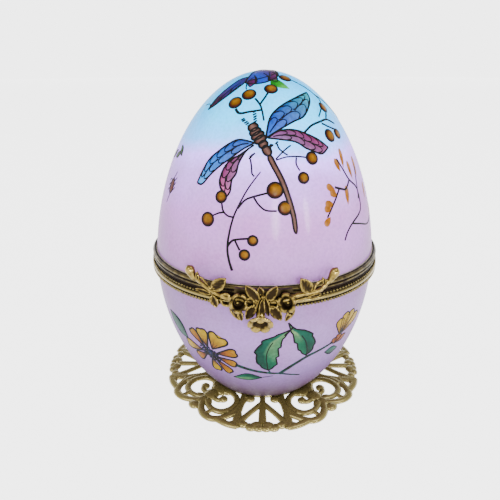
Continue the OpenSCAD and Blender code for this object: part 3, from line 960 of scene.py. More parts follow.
trunk = [srgb(76, 56, 56), srgb(150, 122, 114), srgb(108, 82, 80)]
insect, insect_ink = Enamel(), []
abdomen = rounded([on_egg(s) for s in ((2.6, 73.4), (4.8, 71.6), (9.2, 68), (12, 64.2), (14, 60.3), (14.8, 56.4))], 6)
edges = []
for i, here in enumerate(abdomen):
    t = i / (len(abdomen) - 1)
    ahead = (abdomen[min(i + 1, len(abdomen) - 1)] - abdomen[max(i - 1, 0)]).normalized()
    up = upward(here)
    half = (0.6 - 0.15 * t) * min(1.0, 0.45 + 6 * t, 0.3 + 9 * (1 - t))
    edges.append((here + up.cross(ahead) * half, here - up.cross(ahead) * half))
sides = [a for a, b in edges], [b for a, b in edges]
insect.petal(*sides, crosswise(trunk), lift=0.09, across=4)
insect_ink.append(loop(sides[0] + sides[1][::-1], 0.42))
heading = (on_egg((1, 74.6)) - on_egg((-8.2, 79.1))).normalized()
for spot, half_long, half_wide in (((1.4, 74.4), 1.3, 0.95), ((-0.8, 75.7), 0.85, 1.1), ((-2.7, 76.7), 0.85, 1.5),
                                   ((-4.5, 77.5), 0.85, 1.6), ((-6.3, 78.3), 0.85, 1.4), ((-8.0, 79.2), 1.0, 1.2)):
    oval(insect, insect_ink, on_egg(spot), heading, half_long, half_wide, trunk)

dots = [(-11, 79.6), (-12.4, 79.9), (-13.6, 80.2), (-15.4, 80.5), (-16.4, 80.8),
        (-6.8, 80.4), (-7.2, 80.9), (-7.4, 81.4), (-7.9, 81.9), (-8.3, 82.4),
        (-6.4, 73.6), (-7.6, 73.3), (-8, 72.9), (3.4, 75.5), (4.4, 75.4), (7.4, 76)]
lid_ink += [stroke([(deg - 0.35, z + 0.12), (deg + 0.35, z - 0.12)], 0.8) for deg, z in dots]
lid_fine += [stroke([(-8, 72.6), (-7, 71), (-6.6, 69.6), (-5.2, 69)], 0.34),
             stroke([(7.6, 75.8), (8.6, 74.8), (11, 74), (13.4, 73.4)], 0.34),
             stroke([(6.4, 72.6), (11, 74.2), (16, 75.4)], 0.3)]

# Each spray: twigs as (spots, width at the root, width at the end), and berries as (degrees, height, radius).
front_twigs = (
    ([(-14, 47.6), (-15.6, 50), (-16.6, 53), (-16, 56.5), (-14.5, 60), (-12, 63), (-8, 66.5), (-2, 70)], 0.61, 0.23),
    ([(-14.5, 60), (-17.5, 60.2), (-20, 61.2), (-21.2, 63)], 0.35, 0.41),
    ([(-19.4, 60.9), (-22, 60.6), (-25.4, 59.8)], 0.38, 0.32),
    ([(-12.6, 62), (-9.6, 63.8), (-6, 64.6), (2.6, 65.6)], 0.38, 0.43),
    ([(-5, 64.5), (-2.6, 63), (0.8, 61.8), (6, 61.6)], 0.38, 0.35),
    ([(-16.6, 53.2), (-14, 54.8), (-7.4, 55.4)], 0.49, 0.43),
    ([(-13.2, 54.8), (-10.8, 52.6)], 0.41, 0.46),
    ([(-0.6, 80.6), (-2.4, 82.8), (-4.6, 84), (-9.6, 85.2)], 0.36, 0.46),
    ([(-4.4, 83.9), (0, 85.4), (4, 86.6)], 0.42, 0.42),
    ([(-2.6, 82.8), (-12, 82.4), (-20.5, 82), (-25, 82.9)], 0.44, 0.6),
    ([(6.4, 72.4), (12.6, 73), (19, 73), (25.4, 72.6)], 0.26, 0.35),
    ([(18.4, 72.8), (17.8, 71.4), (19.4, 70)], 0.32, 0.32),
    ([(27, 77.8), (35, 79.2), (45, 79.8), (54, 80), (62, 78.8)], 0.44, 0.5),
    ([(53, 80), (60, 81.6)], 0.42, 0.42),
    ([(45.6, 79.4), (52, 78.4), (58, 77.6)], 0.48, 0.48),
    ([(30, 89.8), (46, 89), (64, 85.6), (63, 83.6), (46, 80.8)], 0.4, 0.34),
    ([(64.5, 85.4), (78, 82.5), (88, 79)], 0.4, 0.34),
)
front_berries = (
    (-28, 84.2, 1.45), (-17, 86, 1.45), (7, 87.2, 1.35), (39, 89.4, 1.3), (60.5, 82.6, 1.2), (48.5, 76.6, 1.4),
    (58.6, 76.6, 1.1), (28.2, 72.4, 1.3), (21, 68.4, 1.12), (5.4, 66.1, 1.65), (10, 62.2, 1.4), (-21.8, 64.2, 1.2),
    (-27.8, 58.8, 1.45), (-5, 55, 1.0), (-8.6, 51.6, 1.05),
)


def spray(twigs, berries, turn, rise, side):
    """One painted spray, turned round the egg and mirrored when side is -1."""
    lines = [stroke([(turn + side * deg, z + rise) for deg, z in spots], root, end) for spots, root, end in twigs]
    return lines, [(turn + side * deg, z + rise, r) for deg, z, r in berries]


lid_berries = []
for twigs, berries, turn, rise, side in (
        (front_twigs, front_berries, 0, 0, 1),
        (front_twigs[:7], front_berries[9:], 172, 1.5, -1),
        (front_twigs[10:15], front_berries[4:9], 196, -3.5, -1),
        (front_twigs[:4], front_berries[9:13], -104, 2.5, 1)):
    lines, fruit = spray(twigs, berries, turn, rise, side)
    lid_ink += lines
    lid_berries += fruit

gold_bud = [srgb(178, 132, 70), srgb(172, 126, 66), srgb(190, 156, 118)]
right_twigs = (
    ([(46.5, 71.4), (49.5, 69), (53, 66.2), (59, 63.8), (60, 60.4), (58, 58), (48.5, 56), (44, 54.4), (41.6, 52.6)],
     0.46, 0.42),
    ([(53, 66.2), (48, 64.4), (43.5, 64.8), (39.5, 65.4)], 0.42, 0.56),
    ([(42.6, 64.9), (39, 63), (36, 61.4), (31.8, 59)], 0.4, 0.36),
    ([(48.6, 56), (56, 55), (66, 53.6), (74, 54.5)], 0.4, 0.34),
    ([(58.6, 61), (61, 65), (64, 68.4)], 0.38, 0.32),
)
lid_ink += [stroke(*twig) for twig in right_twigs]
buds = (((50.6, 69), (53, 73.6)), ((47, 68.4), (44.6, 71.6)), ((57, 66), (56.4, 70.4)), ((63.6, 66), (66, 71)),
        ((39.6, 64.4), (34, 66.2)), ((40.5, 63.4), (35.5, 64.6)), ((37, 61.6), (31.4, 62.2)),
        ((35, 60.6), (30.6, 61.2)),
        ((33.8, 59), (30, 57.2)), ((47.4, 60.6), (48.6, 65.2)), ((69, 60), (72, 64)), ((75, 54.6), (80, 57)))
mirrored_buds = tuple(((170 - a[0], a[1] + 2), (170 - b[0], b[1] + 2)) for a, b in buds)


for a, b in buds + mirrored_buds:
    blade(on_lid, a, b, ((0.4, 1.5), (0.85, 1.5)), lengthwise(gold_bud), outline=0, length_steps=8, across=3)
lid_ink += [stroke([(170 - deg, z + 2) for deg, z in spots], root, end) for spots, root, end in right_twigs]

night = [srgb(66, 40, 78), srgb(104, 66, 122), srgb(84, 100, 176), srgb(94, 54, 106)]
dusk = [srgb(104, 60, 116), srgb(88, 120, 200), srgb(110, 66, 120), srgb(126, 82, 134)]
on_lid((-56, 82.2), [(-56.5, 84.6), (-52, 87.4), (-46, 89.2)], (-34, 89.6),
       [(-50, 83.4), (-41, 85.8), (-32, 88.2)], lengthwise(night), outline=0.5)
on_lid((-30, 88.4), [(-34, 89.6), (-50, 90.9), (150, 91.1)], (70, 91),
       [(-14, 88.2), (6, 88.8), (30, 90)], lengthwise(dusk), outline=0.5, length_steps=20)
for spots in ([(-54, 83.4), (-47, 86), (-38, 88.4)], [(-52, 83.2), (-44, 85.2), (-35, 88)], [(-50, 85.4), (-47, 84.2)],
              [(-44, 87.2), (-41, 85.8)], [(-28, 88.8), (-8, 89.4), (20, 90.2), (50, 90.8)],
              [(-14, 88.3), (-16, 89.2), (-24, 90)], [(6, 88.9), (6, 89.8), (-4, 90.5)],
              [(26, 89.8), (34, 90.4), (50, 90.9)]):
    lid_ink.append(stroke(spots, 0.5, 0.3))
plum = [srgb(100, 48, 98), srgb(134, 78, 132)]
for base, tip in (((-27, 88.6), (-12, 88.7)), ((8, 89.2), (28, 90.2)), ((-55, 83), (-49, 85))):
    blade(on_lid, base, tip, [(0.5, 2.2)], lengthwise(plum), outline=0.3, length_steps=10, across=3, lift=0.07)
spring = [srgb(40, 112, 56), srgb(76, 164, 76), srgb(140, 200, 140)]
on_lid((9, 89.2), [(16, 89.4), (25, 88.8)], (31, 87), [(8, 88), (17, 87.4)], lengthwise(spring), outline=0.0)
lid_fine += [stroke([(-26, 88.2), (-24, 87.4), (-22, 87)], 0.34, 0.2),
             stroke([(-55, 82.6), (-60, 83.4), (-66, 83)], 0.2)]

beetle_red = [srgb(96, 36, 40), srgb(142, 66, 62)]
on_lid((-61.6, 61.8), [(-63.4, 62.6), (-63.2, 64.6)], (-60.6, 65.8), [(-59.4, 62.8), (-59, 64.6)],
       crosswise(beetle_red), outline=0.5, length_steps=8, across=4)
for z in (62.6, 63.8, 65.0):
    lid_fine += [stroke([(-60.2, z), (-58.2, z + 0.5), (-57, z + 1.2)], 0.26),
                 stroke([(-62.6, z), (-64.6, z + 0.3), (-66, z - 0.3)], 0.26)]
lid_fine += [stroke([(-61.6, 61.6), (-62.6, 60.4), (-63.4, 59.4)], 0.24),
             stroke([(-60.4, 66), (-59.4, 66.8), (-59, 67.4)], 0.3)]
olive = [srgb(58, 92, 52), srgb(92, 128, 84)]
for base, tip in (((-60.5, 71.2), (-66.5, 73.4)), ((-63.5, 71.8), (-70.5, 70.4)), ((-71, 72), (-79, 69.5))):
    blade(partial(leaf_shape, lid_enamels, lid_fine), base, tip, [(0.5, 1.6)], lengthwise(olive), outline=0.32,
          length_steps=8, across=3)

# A second butterfly rests on the back of the lid, which the front does not show.
for side in (-1, 1):
    for base, left, tip, right, colours in (
            ((1.5, 74), [(4, 78), (13, 80.5)], (26, 79), [(11, 74.6), (20, 75.6)], sky_wing),
            ((1.5, 73.6), [(9, 74), (16, 72)], (15, 67.5), [(3.5, 70.6), (8, 68)], rose_wing)):
        left, right, ends = ([(180 + side * deg, z) for deg, z in spots] for spots in (left, right, (base, tip)))
        on_lid(ends[0], left, ends[1], right, along(colours), outline=0.46)
    lid_fine.append(stroke([(180 + side * deg, z) for deg, z in ((0.8, 77), (3, 79.4), (5, 81))], 0.22))
for z, half_long, half_wide in ((71.4, 3.0, 0.8), (75.2, 1.2, 1.2), (77.2, 0.9, 0.9)):
    oval(insect, insect_ink, on_egg((180, z)), Vector((0, 0, 1)), half_long, half_wide, trunk)


def berry_tree():
    """Sets one domed drop of enamel on each spot, turned to stand off the egg."""
    tree, given = node_tree("berry_drops", {"Drop": "Object", "Surface": "Object", "Finish": "Material"})
    glazed = make(tree, "GeometryNodeObjectInfo", {"Object": given["Surface"]}, "Geometry")
    drop = make(tree, "GeometryNodeObjectInfo", {"Object": given["Drop"]}, "Geometry")
    outward = nearest(tree, glazed, make(tree, "GeometryNodeInputNormal"))
    turn = make(tree, "FunctionNodeAlignRotationToVector", {"Vector": outward}, axis="Z")
    size = make(tree, "GeometryNodeInputNamedAttribute", {"Name": "half_width"}, data_type="FLOAT")
    laid = make(tree, "GeometryNodeInstanceOnPoints", {
        "Points": given["Geometry"], "Instance": drop, "Rotation": turn, "Scale": size})
    return end_tree(tree, given, laid)


def drop_guide():
    """A unit dome with a sunk foot. It is scaled by each berry's radius in metres. Its paint darkens towards the rim
    and away from one side as painted shade, with a painted highlight on that side.
    """
    bm = bmesh.new()
    shades = bm.verts.layers.float_color.new("paint")
    rows, sides = [], 16
    for r, z, share in ((0.35, 0.13, 0.0), (0.65, 0.11, 0.2), (0.88, 0.075, 0.6), (0.98, 0.035, 1.0),
                        (0.98, -0.05, 1.0)):
        row = []
        for k in range(sides):
            a = 2 * math.pi * k / sides
            vert = bm.verts.new((r * math.cos(a), r * math.sin(a), z))
            # Painted highlight on one side of the drop, painted shade towards its rim and its far side.
            painted_light_side = 0.5 + 0.5 * math.cos(a - 0.9)
            vert[shades] = (*mixed(srgb(170, 134, 70), srgb(98, 62, 24), min(1, 0.8 * share + 0.8 * (1 - painted_light_side) * r)), 1)
            row.append(vert)
        rows.append(row)
    band(bm, rows)
    bm.faces.new(rows[0])
    bm.faces.new(rows[-1][::-1])
    return add_piece("drop", mesh_from(bm, "drop"))


fruit_enamel = enamel("berry enamel", 0.35, 0.2)
drop = drop_guide()
fruit_mesh = bpy.data.meshes.new("lid_berries")
fruit_mesh.from_pydata([on_egg((deg, z)) * MM for deg, z, r in lid_berries], [], [])
store(fruit_mesh, "half_width", [r * MM for deg, z, r in lid_berries])
berries = add_piece("lid_berries", fruit_mesh)
grow(berries, berry_tree(), {"Drop": drop, "Surface": lid_glaze, "Finish": fruit_enamel})
bpy.data.objects.remove(drop)
berries.data.shade_smooth()
fit(berries, "lid", "lid_porcelain")
for deg, z, r in lid_berries:
    centre = on_egg((deg, z))
    up = upward(centre)
    across = up.cross(Vector((0, 0, 1))).normalized()
    rise = across.cross(up)
    ring = [centre + across * r * math.cos(a / 12 * math.pi) + rise * r * math.sin(a / 12 * math.pi) for a in range(24)]
    lid_ink.append(loop(ring, 0.76))

black_ink = ink_paint("black line enamel", srgb(24, 20, 26), srgb(58, 52, 62))
grey_ink = ink_paint("thin grey line enamel", srgb(34, 30, 42), srgb(66, 62, 82))
leaf_enamel = enamel("wing and leaf enamel")
lid_enamels.finish("lid_enamels", leaf_enamel, "lid", "lid_porcelain")
insect.finish("dragonfly_body", leaf_enamel, "lid", "lid_porcelain")
laid_strokes("dragonfly_outline", insect_ink, lid_glaze, black_ink, "lid", "lid_porcelain", 0.13)
laid_strokes("lid_inkwork", lid_ink, lid_glaze, black_ink, "lid", "lid_porcelain", 0.085)
laid_strokes("lid_fine_lines", lid_fine, lid_glaze, grey_ink, "lid", "lid_porcelain", 0.075)


# --- Painted decoration on the bowl ------------------------------------------
# One flowering branch runs round the bowl: a yellow daisy, two toothed leaves, a bud flower and
# narrow teal leaves. The back carries the same branch again, mirrored, which the front does not show.
bowl_enamels, bowl_ink, bowl_fine = Enamel(), [], []
yolk = [srgb(150, 84, 34), srgb(166, 136, 16), srgb(184, 164, 18), srgb(168, 150, 26)]
ember = [srgb(142, 74, 38), srgb(166, 120, 22), srgb(180, 154, 24)]
pine = [srgb(34, 82, 76), srgb(46, 106, 94), srgb(74, 132, 114)]
moss = [srgb(42, 104, 90), srgb(62, 122, 100), srgb(112, 152, 120), srgb(160, 178, 142)]
teal = [srgb(12, 88, 82), srgb(26, 106, 96), srgb(52, 124, 114)]
daisy_at = (-29.4, 21.2)
daisy_petals = (
    ((-39.6, 27.8), 2.6), ((-32.6, 29.2), 3.6), ((-21.6, 28.6), 5.6), ((-13.6, 23.6), 3.0), ((-14.6, 18.9), 2.6),
    ((-19, 15), 2.8), ((-28, 14.6), 3.2), ((-40.2, 18), 3.0), ((-46.9, 21.6), 3.4))


def split_paint(left_colours, right_colours):
    def colour_of(t, s):
        return blended(left_colours if s < 0.5 else right_colours, 0.1 + 0.85 * t + 0.12 * math.sin(9 * t + 5 * s))
    return colour_of


def flowering_branch(turn, side):
    def at(*spots):
        return [(turn + side * deg, z) for deg, z in spots]

    def painted(base, left, tip, right, colour_of, **more):
        return leaf_shape(bowl_enamels, bowl_ink, at(base)[0], at(*left), at(tip)[0], at(*right), colour_of, **more)

    def line(spots, root, end, fine=False):
        (bowl_fine if fine else bowl_ink).append(stroke(at(*spots), root, end))

    for spots, root, end in (
            ([(-14.5, 18.9), (-5, 17.4), (4.5, 16.4), (11, 15.9), (23, 13.9)], 1.1, 0.4),
            ([(9.5, 15.9), (16, 18.8), (24, 21.4), (32, 22.6), (40, 23.6)], 1.1, 0.7),
            ([(4.4, 16.4), (3.2, 17.8)], 0.4, 0.4), ([(24, 21.4), (23, 22.2)], 0.45, 0.45),
            ([(0, 14.5), (6, 15.2)], 0.3, 0.2)):
        path, halves = stroke(at(*spots), root, end)
        green_stems.append((path, halves))
        bowl_fine.append((path, [0.3 * half for half in halves]))
    for tip, width in daisy_petals:
        base = (daisy_at[0] + 0.26 * (tip[0] - daisy_at[0]), daisy_at[1] + 0.26 * (tip[1] - daisy_at[1]))
        nick = side_step(base, tip, 0.86 if width > 5 else 0.97, 0)
        blade(painted, base, tip, ((0.4, 0.55 * width), (0.8, width), (1.0, 0.62 * width)),
              lengthwise(ember if width < 3.1 else yolk), nick, outline=0.54, length_steps=14, lift=0.06)
        line([base, side_step(base, tip, 0.5, 0.2 * width)], 0.26, 0.14, fine=True)
        line([base, side_step(base, tip, 0.45, -0.25 * width)], 0.24, 0.14, fine=True)
    for k in range(72):
        a = k * 2.4
        reach = 0.1 + 0.036 * k
        spot = (daisy_at[0] + 2.2 * reach * math.cos(a) - 0.7 * reach * math.sin(a),
                daisy_at[1] + 0.85 * reach * math.sin(a) - 0.35 * reach * math.cos(a))
        flower_eye.append(stroke(at(spot, (spot[0] + 0.9 * math.cos(a), spot[1] + 0.45 * math.sin(a))), 0.8, 0.5))
    a, b = painted((3.2, 17.8), [(-2, 19.4), (-4.6, 24.2), (-1.2, 28.4), (5, 30.2)], (12.8, 31.8),
                   [(7.2, 19.4), (8, 21.6), (8.8, 25.6), (10, 29)], split_paint(pine, moss),
                   outline=0.42, length_steps=24, teeth=5, across=6)
    middle = [p.lerp(q, 0.5) for p, q in zip(a, b)]
    bowl_ink.append((middle[:17], [0.16] * 17))
    line([(10, 30.2), (12.6, 31.6), (14, 32.6)], 0.34, 0.6)
    a, b = painted((23, 22.2), [(19, 23.6), (16, 26.6), (13.6, 30)], (11.6, 34),
                   [(27, 24), (26.2, 28.2), (20.6, 31.2), (15.6, 31.8)], split_paint(moss, pine),
                   outline=0.42, length_steps=22, teeth=4, across=6)
    middle = [p.lerp(q, 0.5) for p, q in zip(a, b)]
    bowl_ink.append((middle[:14], [0.16] * 14))
    painted((-0.3, 14.4), [(-9, 15.9)], (-18.2, 13.2), [(-9, 12.8)], split_paint(pine, moss), outline=0.26,
            length_steps=12)
    painted((-44.6, 23.2), [(-46, 27.4), (-51, 29.4)], (-57.5, 29.6), [(-51, 23.4), (-56.5, 26)],
            crosswise(teal), outline=0.24, length_steps=12)
    painted((46.5, 20.2), [(41, 18.9)], (35.6, 20.8), [(41, 21.9)], crosswise(teal), outline=0.2)
    bud_foot, calyx_foot = (43.6, 25.4), (41.6, 22.8)
    for tip, width in (((41, 31.2), 2.8), ((46, 32.4), 3.0), ((52, 32), 3.0), ((58, 29.8), 3.0)):
        blade(painted, bud_foot, tip, ((0.4, 0.6 * width), (0.85, width)), lengthwise(yolk), outline=0.34,
              length_steps=10)
    for tip, width in (((39.4, 25), 2.4), ((44.8, 26), 2.6), ((50, 24.4), 2.0)):
        blade(painted, calyx_foot, tip, [(0.6, width)], lambda t, s: blended(ember, 0.5 * t), outline=0.3,
              length_steps=8, across=3)
    for tip in ((44, 28.6), (48, 28.8), (51, 27.4)):
        line([bud_foot, tip], 0.28, 0.14, fine=True)


green_stems, flower_eye = [], []
flowering_branch(0, 1)
flowering_branch(182, -1)
bowl_enamels.finish("bowl_enamels", leaf_enamel, "bowl", "bowl_porcelain")
stem_paint = ink_paint("green stem enamel", srgb(34, 70, 62), srgb(62, 108, 96))
eye_paint = ink_paint("blue grey flower eye", srgb(24, 30, 44), srgb(60, 72, 94))
laid_strokes("bowl_stems", green_stems, bowl_glaze, stem_paint, "bowl", "bowl_porcelain", 0.06)
laid_strokes("daisy_eyes", flower_eye, bowl_glaze, eye_paint, "bowl", "bowl_porcelain", 0.1)
laid_strokes("bowl_inkwork", bowl_ink, bowl_glaze, black_ink, "bowl", "bowl_porcelain", 0.085)
laid_strokes("bowl_fine_lines", bowl_fine, bowl_glaze, grey_ink, "bowl", "bowl_porcelain", 0.08)


# --- Brass rims --------------------------------------------------------------
# Each half has a turned brass band with rolled mouldings, darkened in its grooves by tarnish and painted shade.
# A beaded wire and a milled wire are soldered round the bowl's band.
rim_brass = brass("turned rim brass", (0.15, 0.115, 0.036), (0.014, 0.009, 0.006), 500.0, -0.05, bump=0.2)


def relief_ring(name, rows, body, node):
    """A turned band from (radius, height, relief) rows, where relief 1 is polished and 0 is dark, tarnish and painted
    shade together.
    """
    mesh = turned(name, [(r, z) for r, z, _ in rows], egg_steps)
    store(mesh, "relief", [relief for _, _, relief in rows for _ in range(egg_steps)])
    mesh.materials.append(rim_brass)
    fit(add_piece(name, mesh), body, "rim_brass", node)


# Relief 0 in the grooves, the cove at the parting and the hidden inner faces is tarnish and painted shade.
relief_ring("lid_rim_band", [
    (28.63, 41.85, 0.6), (31.2, 41.85, 0.5), (31.75, 41.9, 0.1), (31.62, 42.12, 0), (31.62, 42.4, 0),
    (31.85, 42.5, 0.3),
    (32.12, 42.65, 0.4), (32.2, 42.85, 0.5), (32.12, 43.05, 0.4), (31.85, 43.18, 0.15), (31.7, 43.27, 0),
    (31.85, 43.36, 0.25), (32.1, 43.5, 0.4), (32.2, 43.72, 0.5), (32.12, 43.95, 0.5), (31.95, 44.14, 0.4),
    (31.8, 44.3, 0.5), (31.72, 44.4, 0.15), (31.6, 44.45, 0), (31.38, 44.45, 0), (31.38, 42.3, 0), (28.63, 42.3, 0.2),
], "lid", "lid_band")
relief_ring("bowl_rim_band", [
    (28.63, 41.75, 0.7), (31.4, 41.75, 0.6), (31.8, 41.72, 0.1), (31.85, 41.6, 0), (31.85, 41.08, 0), (32, 40.96, 0.3),
    (32.28, 40.84, 0.6), (32.45, 40.64, 0.9), (32.5, 40.4, 1), (32.45, 40.18, 0.8), (32.28, 39.98, 0.5),
    (32.05, 39.86, 0.2),
    (31.88, 39.74, 0), (31.85, 39, 0), (31.8, 38.9, 0.1), (31.6, 38.85, 0.2), (31.45, 38.86, 0), (31.45, 41.3, 0),
    (28.63, 41.3, 0)], "bowl", "bowl_band")


def bead_ring_tree():
    """Copies one bead evenly round a ring, each turned to face outwards."""
    tree, given = node_tree("bead_ring", {
        "Radius": "Float", "Height": "Float", "Count": "Int", "Size": "Vector", "Lean": "Float", "Finish": "Material"})
    bead = make(tree, "GeometryNodeMeshIcoSphere", {"Subdivisions": 2, "Radius": 1.0})
    lean = make(tree, "ShaderNodeCombineXYZ", {"X": given["Lean"]})
    shaped = make(tree, "GeometryNodeTransform", {"Geometry": bead, "Scale": given["Size"], "Rotation": lean})
    circle = make(tree, "GeometryNodeMeshCircle", {"Vertices": given["Count"], "Radius": given["Radius"]})
    up = make(tree, "ShaderNodeCombineXYZ", {"Z": given["Height"]})
    raised = make(tree, "GeometryNodeTransform", {"Geometry": circle, "Translation": up})
    laid = make(tree, "GeometryNodeInstanceOnPoints", {
        "Points": raised, "Instance": shaped, "Rotation": ring_turn(tree, given["Count"])})
    return end_tree(tree, given, laid)


wire_brass = brass("wire brass", (0.14, 0.107, 0.034), (0.02, 0.014, 0.008), 900.0, 0.05, has_relief=False)
bead_ring = bead_ring_tree()
for name, node, radius, height, count, size, lean in (
        ("beaded_wire", "bowl_beaded_wire", 32.1, 41.35, 200, (0.3, 0.36, 0.27), 0.0),
        ("milled_wire", "bowl_milled_wire", 32.05, 39.3, 220, (0.42, 0.4, 0.5), 0.5)):
    wire = add_piece(name, bpy.data.meshes.new(name))
    grow(wire, bead_ring, {"Radius": radius * MM, "Height": height * MM, "Count": count,
                           "Size": [v * MM for v in size], "Lean": lean, "Finish": wire_brass})
    wire.data.shade_smooth()
    fit(wire, "bowl", "rim_brass", node)


# --- Clasp -------------------------------------------------------------------
# A cast brass spray of twigs, leaves and open blossoms is soldered over the lid's band.
# The lowest blossom is the thumb piece. The casting is dark in its hollows and bright on its ridges and top: patina and
# wear, and also painted shade and painted highlight.
# Near-black hollows and bright raised edges: patina and wear, together with painted shade and painted highlight.
clasp_brass = brass("cast clasp brass", (0.21, 0.146, 0.036), (0.014, 0.009, 0.004), 1100.0, -0.3, bump=0.4)


clasp_r = 33.0


def on_clasp(deg, z, out=0.6):
    return polar(deg, clasp_r + out, z)


def rod(bm, path, halves, sides=8):
    """A round rod through points in mm, thicker and thinner along its length, rounded off at both ends."""
    rows = []
    last = len(path) - 1
    for i, here in enumerate(path):
        ahead = (path[min(i + 1, last)] - path[max(i - 1, 0)]).normalized()
        out = Vector((here.x, here.y, 0)).normalized()
        side = ahead.cross(out).normalized()
        out = side.cross(ahead)
        ring = [here + (side * math.cos(a) + out * math.sin(a)) * halves[i]
                for a in (2 * math.pi * k / sides for k in range(sides))]
        rows.append([bm.verts.new(p * MM) for p in ring])
    band(bm, rows)
    for row, here, beyond, half in ((rows[0], path[0], path[1], halves[0]), (rows[-1], path[-1], path[-2], halves[-1])):
        tip = bm.verts.new((here + (here - beyond).normalized() * 0.6 * half) * MM)
        for k in range(sides):
            bm.faces.new((row[k], row[(k + 1) % sides], tip))


def twig(bm, spots, root, end, per=4):
    path = rounded([on_clasp(*spot) for spot in spots], per)
    last = len(path) - 1
    halves = [(root + (end - root) * i / last) * (1 + 0.12 * math.sin(2.3 * i)) for i in range(last + 1)]
    rod(bm, path, halves)


def bud(bm, base, tip, half):
    start, end = on_clasp(*base), on_clasp(*tip)
    path = [start.lerp(end, t) for t in (0, 0.12, 0.3, 0.5, 0.7, 0.85, 0.96)]
    rod(bm, path, [half * v for v in (0.4, 0.62, 0.72, 0.9, 1.0, 0.85, 0.45)], 12)


def cast_leaf(bm, base, tip, half, thick=0.5, curl=0.5):
    """A leaf with a sunk midrib and raised edges, cast solid."""
    start, end = on_clasp(*base), on_clasp(*tip)
    ahead = (end - start).normalized()
    out = Vector((start.x, start.y, 0)).normalized()
    side = ahead.cross(out).normalized()
    steps, across = 10, 6
    fronts, backs = [], []
    for i in range(steps + 1):
        t = i / steps
        width = half * math.sin(math.pi * min(1, t * 0.96 + 0.02)) ** 0.8 * (1.15 - 0.3 * t)
        front, back = [], []
        for k in range(across + 1):
            w = 2 * k / across - 1
            spot = start.lerp(end, t) + side * w * width
            lift = curl * (0.5 * abs(w) ** 1.5 + 0.3 * math.sin(math.pi * t)) - 0.12 * (1 - min(1, 3 * abs(w)))
            vein = 0.06 * math.cos(22 * (t - 0.35 * abs(w)))
            front.append(bm.verts.new((spot + out * (thick * 0.5 + lift + vein)) * MM))
            back.append(bm.verts.new((spot + out * (lift * 0.6 - thick * 0.5)) * MM))
        fronts.append(front)
        backs.append(back)
    for i in range(steps):
        for k in range(across):
            bm.faces.new((fronts[i][k], fronts[i][k + 1], fronts[i + 1][k + 1], fronts[i + 1][k]))
            bm.faces.new((backs[i][k + 1], backs[i][k], backs[i + 1][k], backs[i + 1][k + 1]))
        for k in (0, across):
            bm.faces.new((fronts[i][k], fronts[i + 1][k], backs[i + 1][k], backs[i][k]))
    for i in (0, steps):
        for k in range(across):
            bm.faces.new((fronts[i][k], fronts[i][k + 1], backs[i][k + 1], backs[i][k]))


def cast_flower(bm, centre, facing, r, petals, depth, roll=0.16):
    """An open trumpet blossom: a scalloped rim round a deep throat with a knob of stamens."""
    facing = facing.normalized()
    across = facing.cross(Vector((0, 0, 1))).normalized()
    rise = across.cross(facing)
    count = petals * 6
    # Each ring is (share of the radius, height along the facing direction, scallop).
    rings = ((0.08, -0.62, 0), (0.14, -0.68, 0), (0.18, -1.05, 0), (0.36, -0.98, 0.2), (0.5, -0.6, 0.5),
             (0.62, -0.14, 0.8), (0.76, 0.08, 1), (0.9, 0.06, 1), (1.0, -0.1, 1), (1.0, -0.3, 1),
             (0.86, -0.62, 0.8), (0.6, -1.05, 0.5),
             (0.36, -1.45, 0.2), (0.24, -1.8, 0))
    rows = []
    for share, height, scallop in rings:
        row = []
        for k in range(count):
            a = 2 * math.pi * k / count
            lobe = abs(math.cos(0.5 * petals * a))
            reach = r * share * (1 - roll * scallop * (1 - lobe) ** 2)
            lift = depth * height + 0.14 * r * scallop * (lobe - 0.6)
            row.append(bm.verts.new((centre + across * reach * math.cos(a) + rise * reach * math.sin(a)
                                     + facing * lift) * MM))
        rows.append(row)
    band(bm, rows)
    bm.faces.new(rows[0][::-1])
    bm.faces.new(rows[-1])


def cast_piece(name, build, replaced, flat_wear_and_light=0.5):
    bm = bmesh.new()
    build(bm)
    mesh = mesh_from(bm, name)
    mark_relief(mesh, flat_wear_and_light)
    mesh.materials.append(clasp_brass)
    fit(add_piece(name, mesh), "lid", "clasp_brass", *replaced)


def left_spray(bm):
    twig(bm, [(-30, 45.9), (-26.7, 44.8), (-23, 43.5), (-19, 42.4), (-14.5, 41.8), (-10.5, 41.6)], 0.52, 0.6)
    twig(bm, [(-28.6, 45.2), (-26.4, 46), (-24.4, 45.2), (-21.6, 43.4)], 0.26, 0.32)
    twig(bm, [(-21, 42.2), (-20.6, 40.8), (-18.6, 40.2)], 0.34, 0.3)
    twig(bm, [(-17.4, 41.6), (-16.4, 42.6), (-14.2, 42.6), (-12.8, 41.2), (-14, 39.9), (-16.4, 39.9), (-17.4, 41.2)],
         0.38, 0.36)
    bud(bm, (-29.4, 45.2, 0.7), (-32.4, 48.3, 0.7), 1.25)
    cast_leaf(bm, (-27, 45.2), (-27.8, 47.3), 0.4)
    cast_leaf(bm, (-21, 43.5), (-15, 46.8), 1.5)
    cast_leaf(bm, (-21.6, 42.3), (-28.8, 42.8), 0.6)
    cast_leaf(bm, (-20.8, 42.2, 0.9), (-18.8, 39.2, 0.9), 1.1)
    cast_leaf(bm, (-13.4, 40.4, 1), (-9.2, 36.8, 1.2), 0.75)
    cast_leaf(bm, (-9.4, 39.4, 1.4), (-8.2, 36.7, 1.2), 0.7)


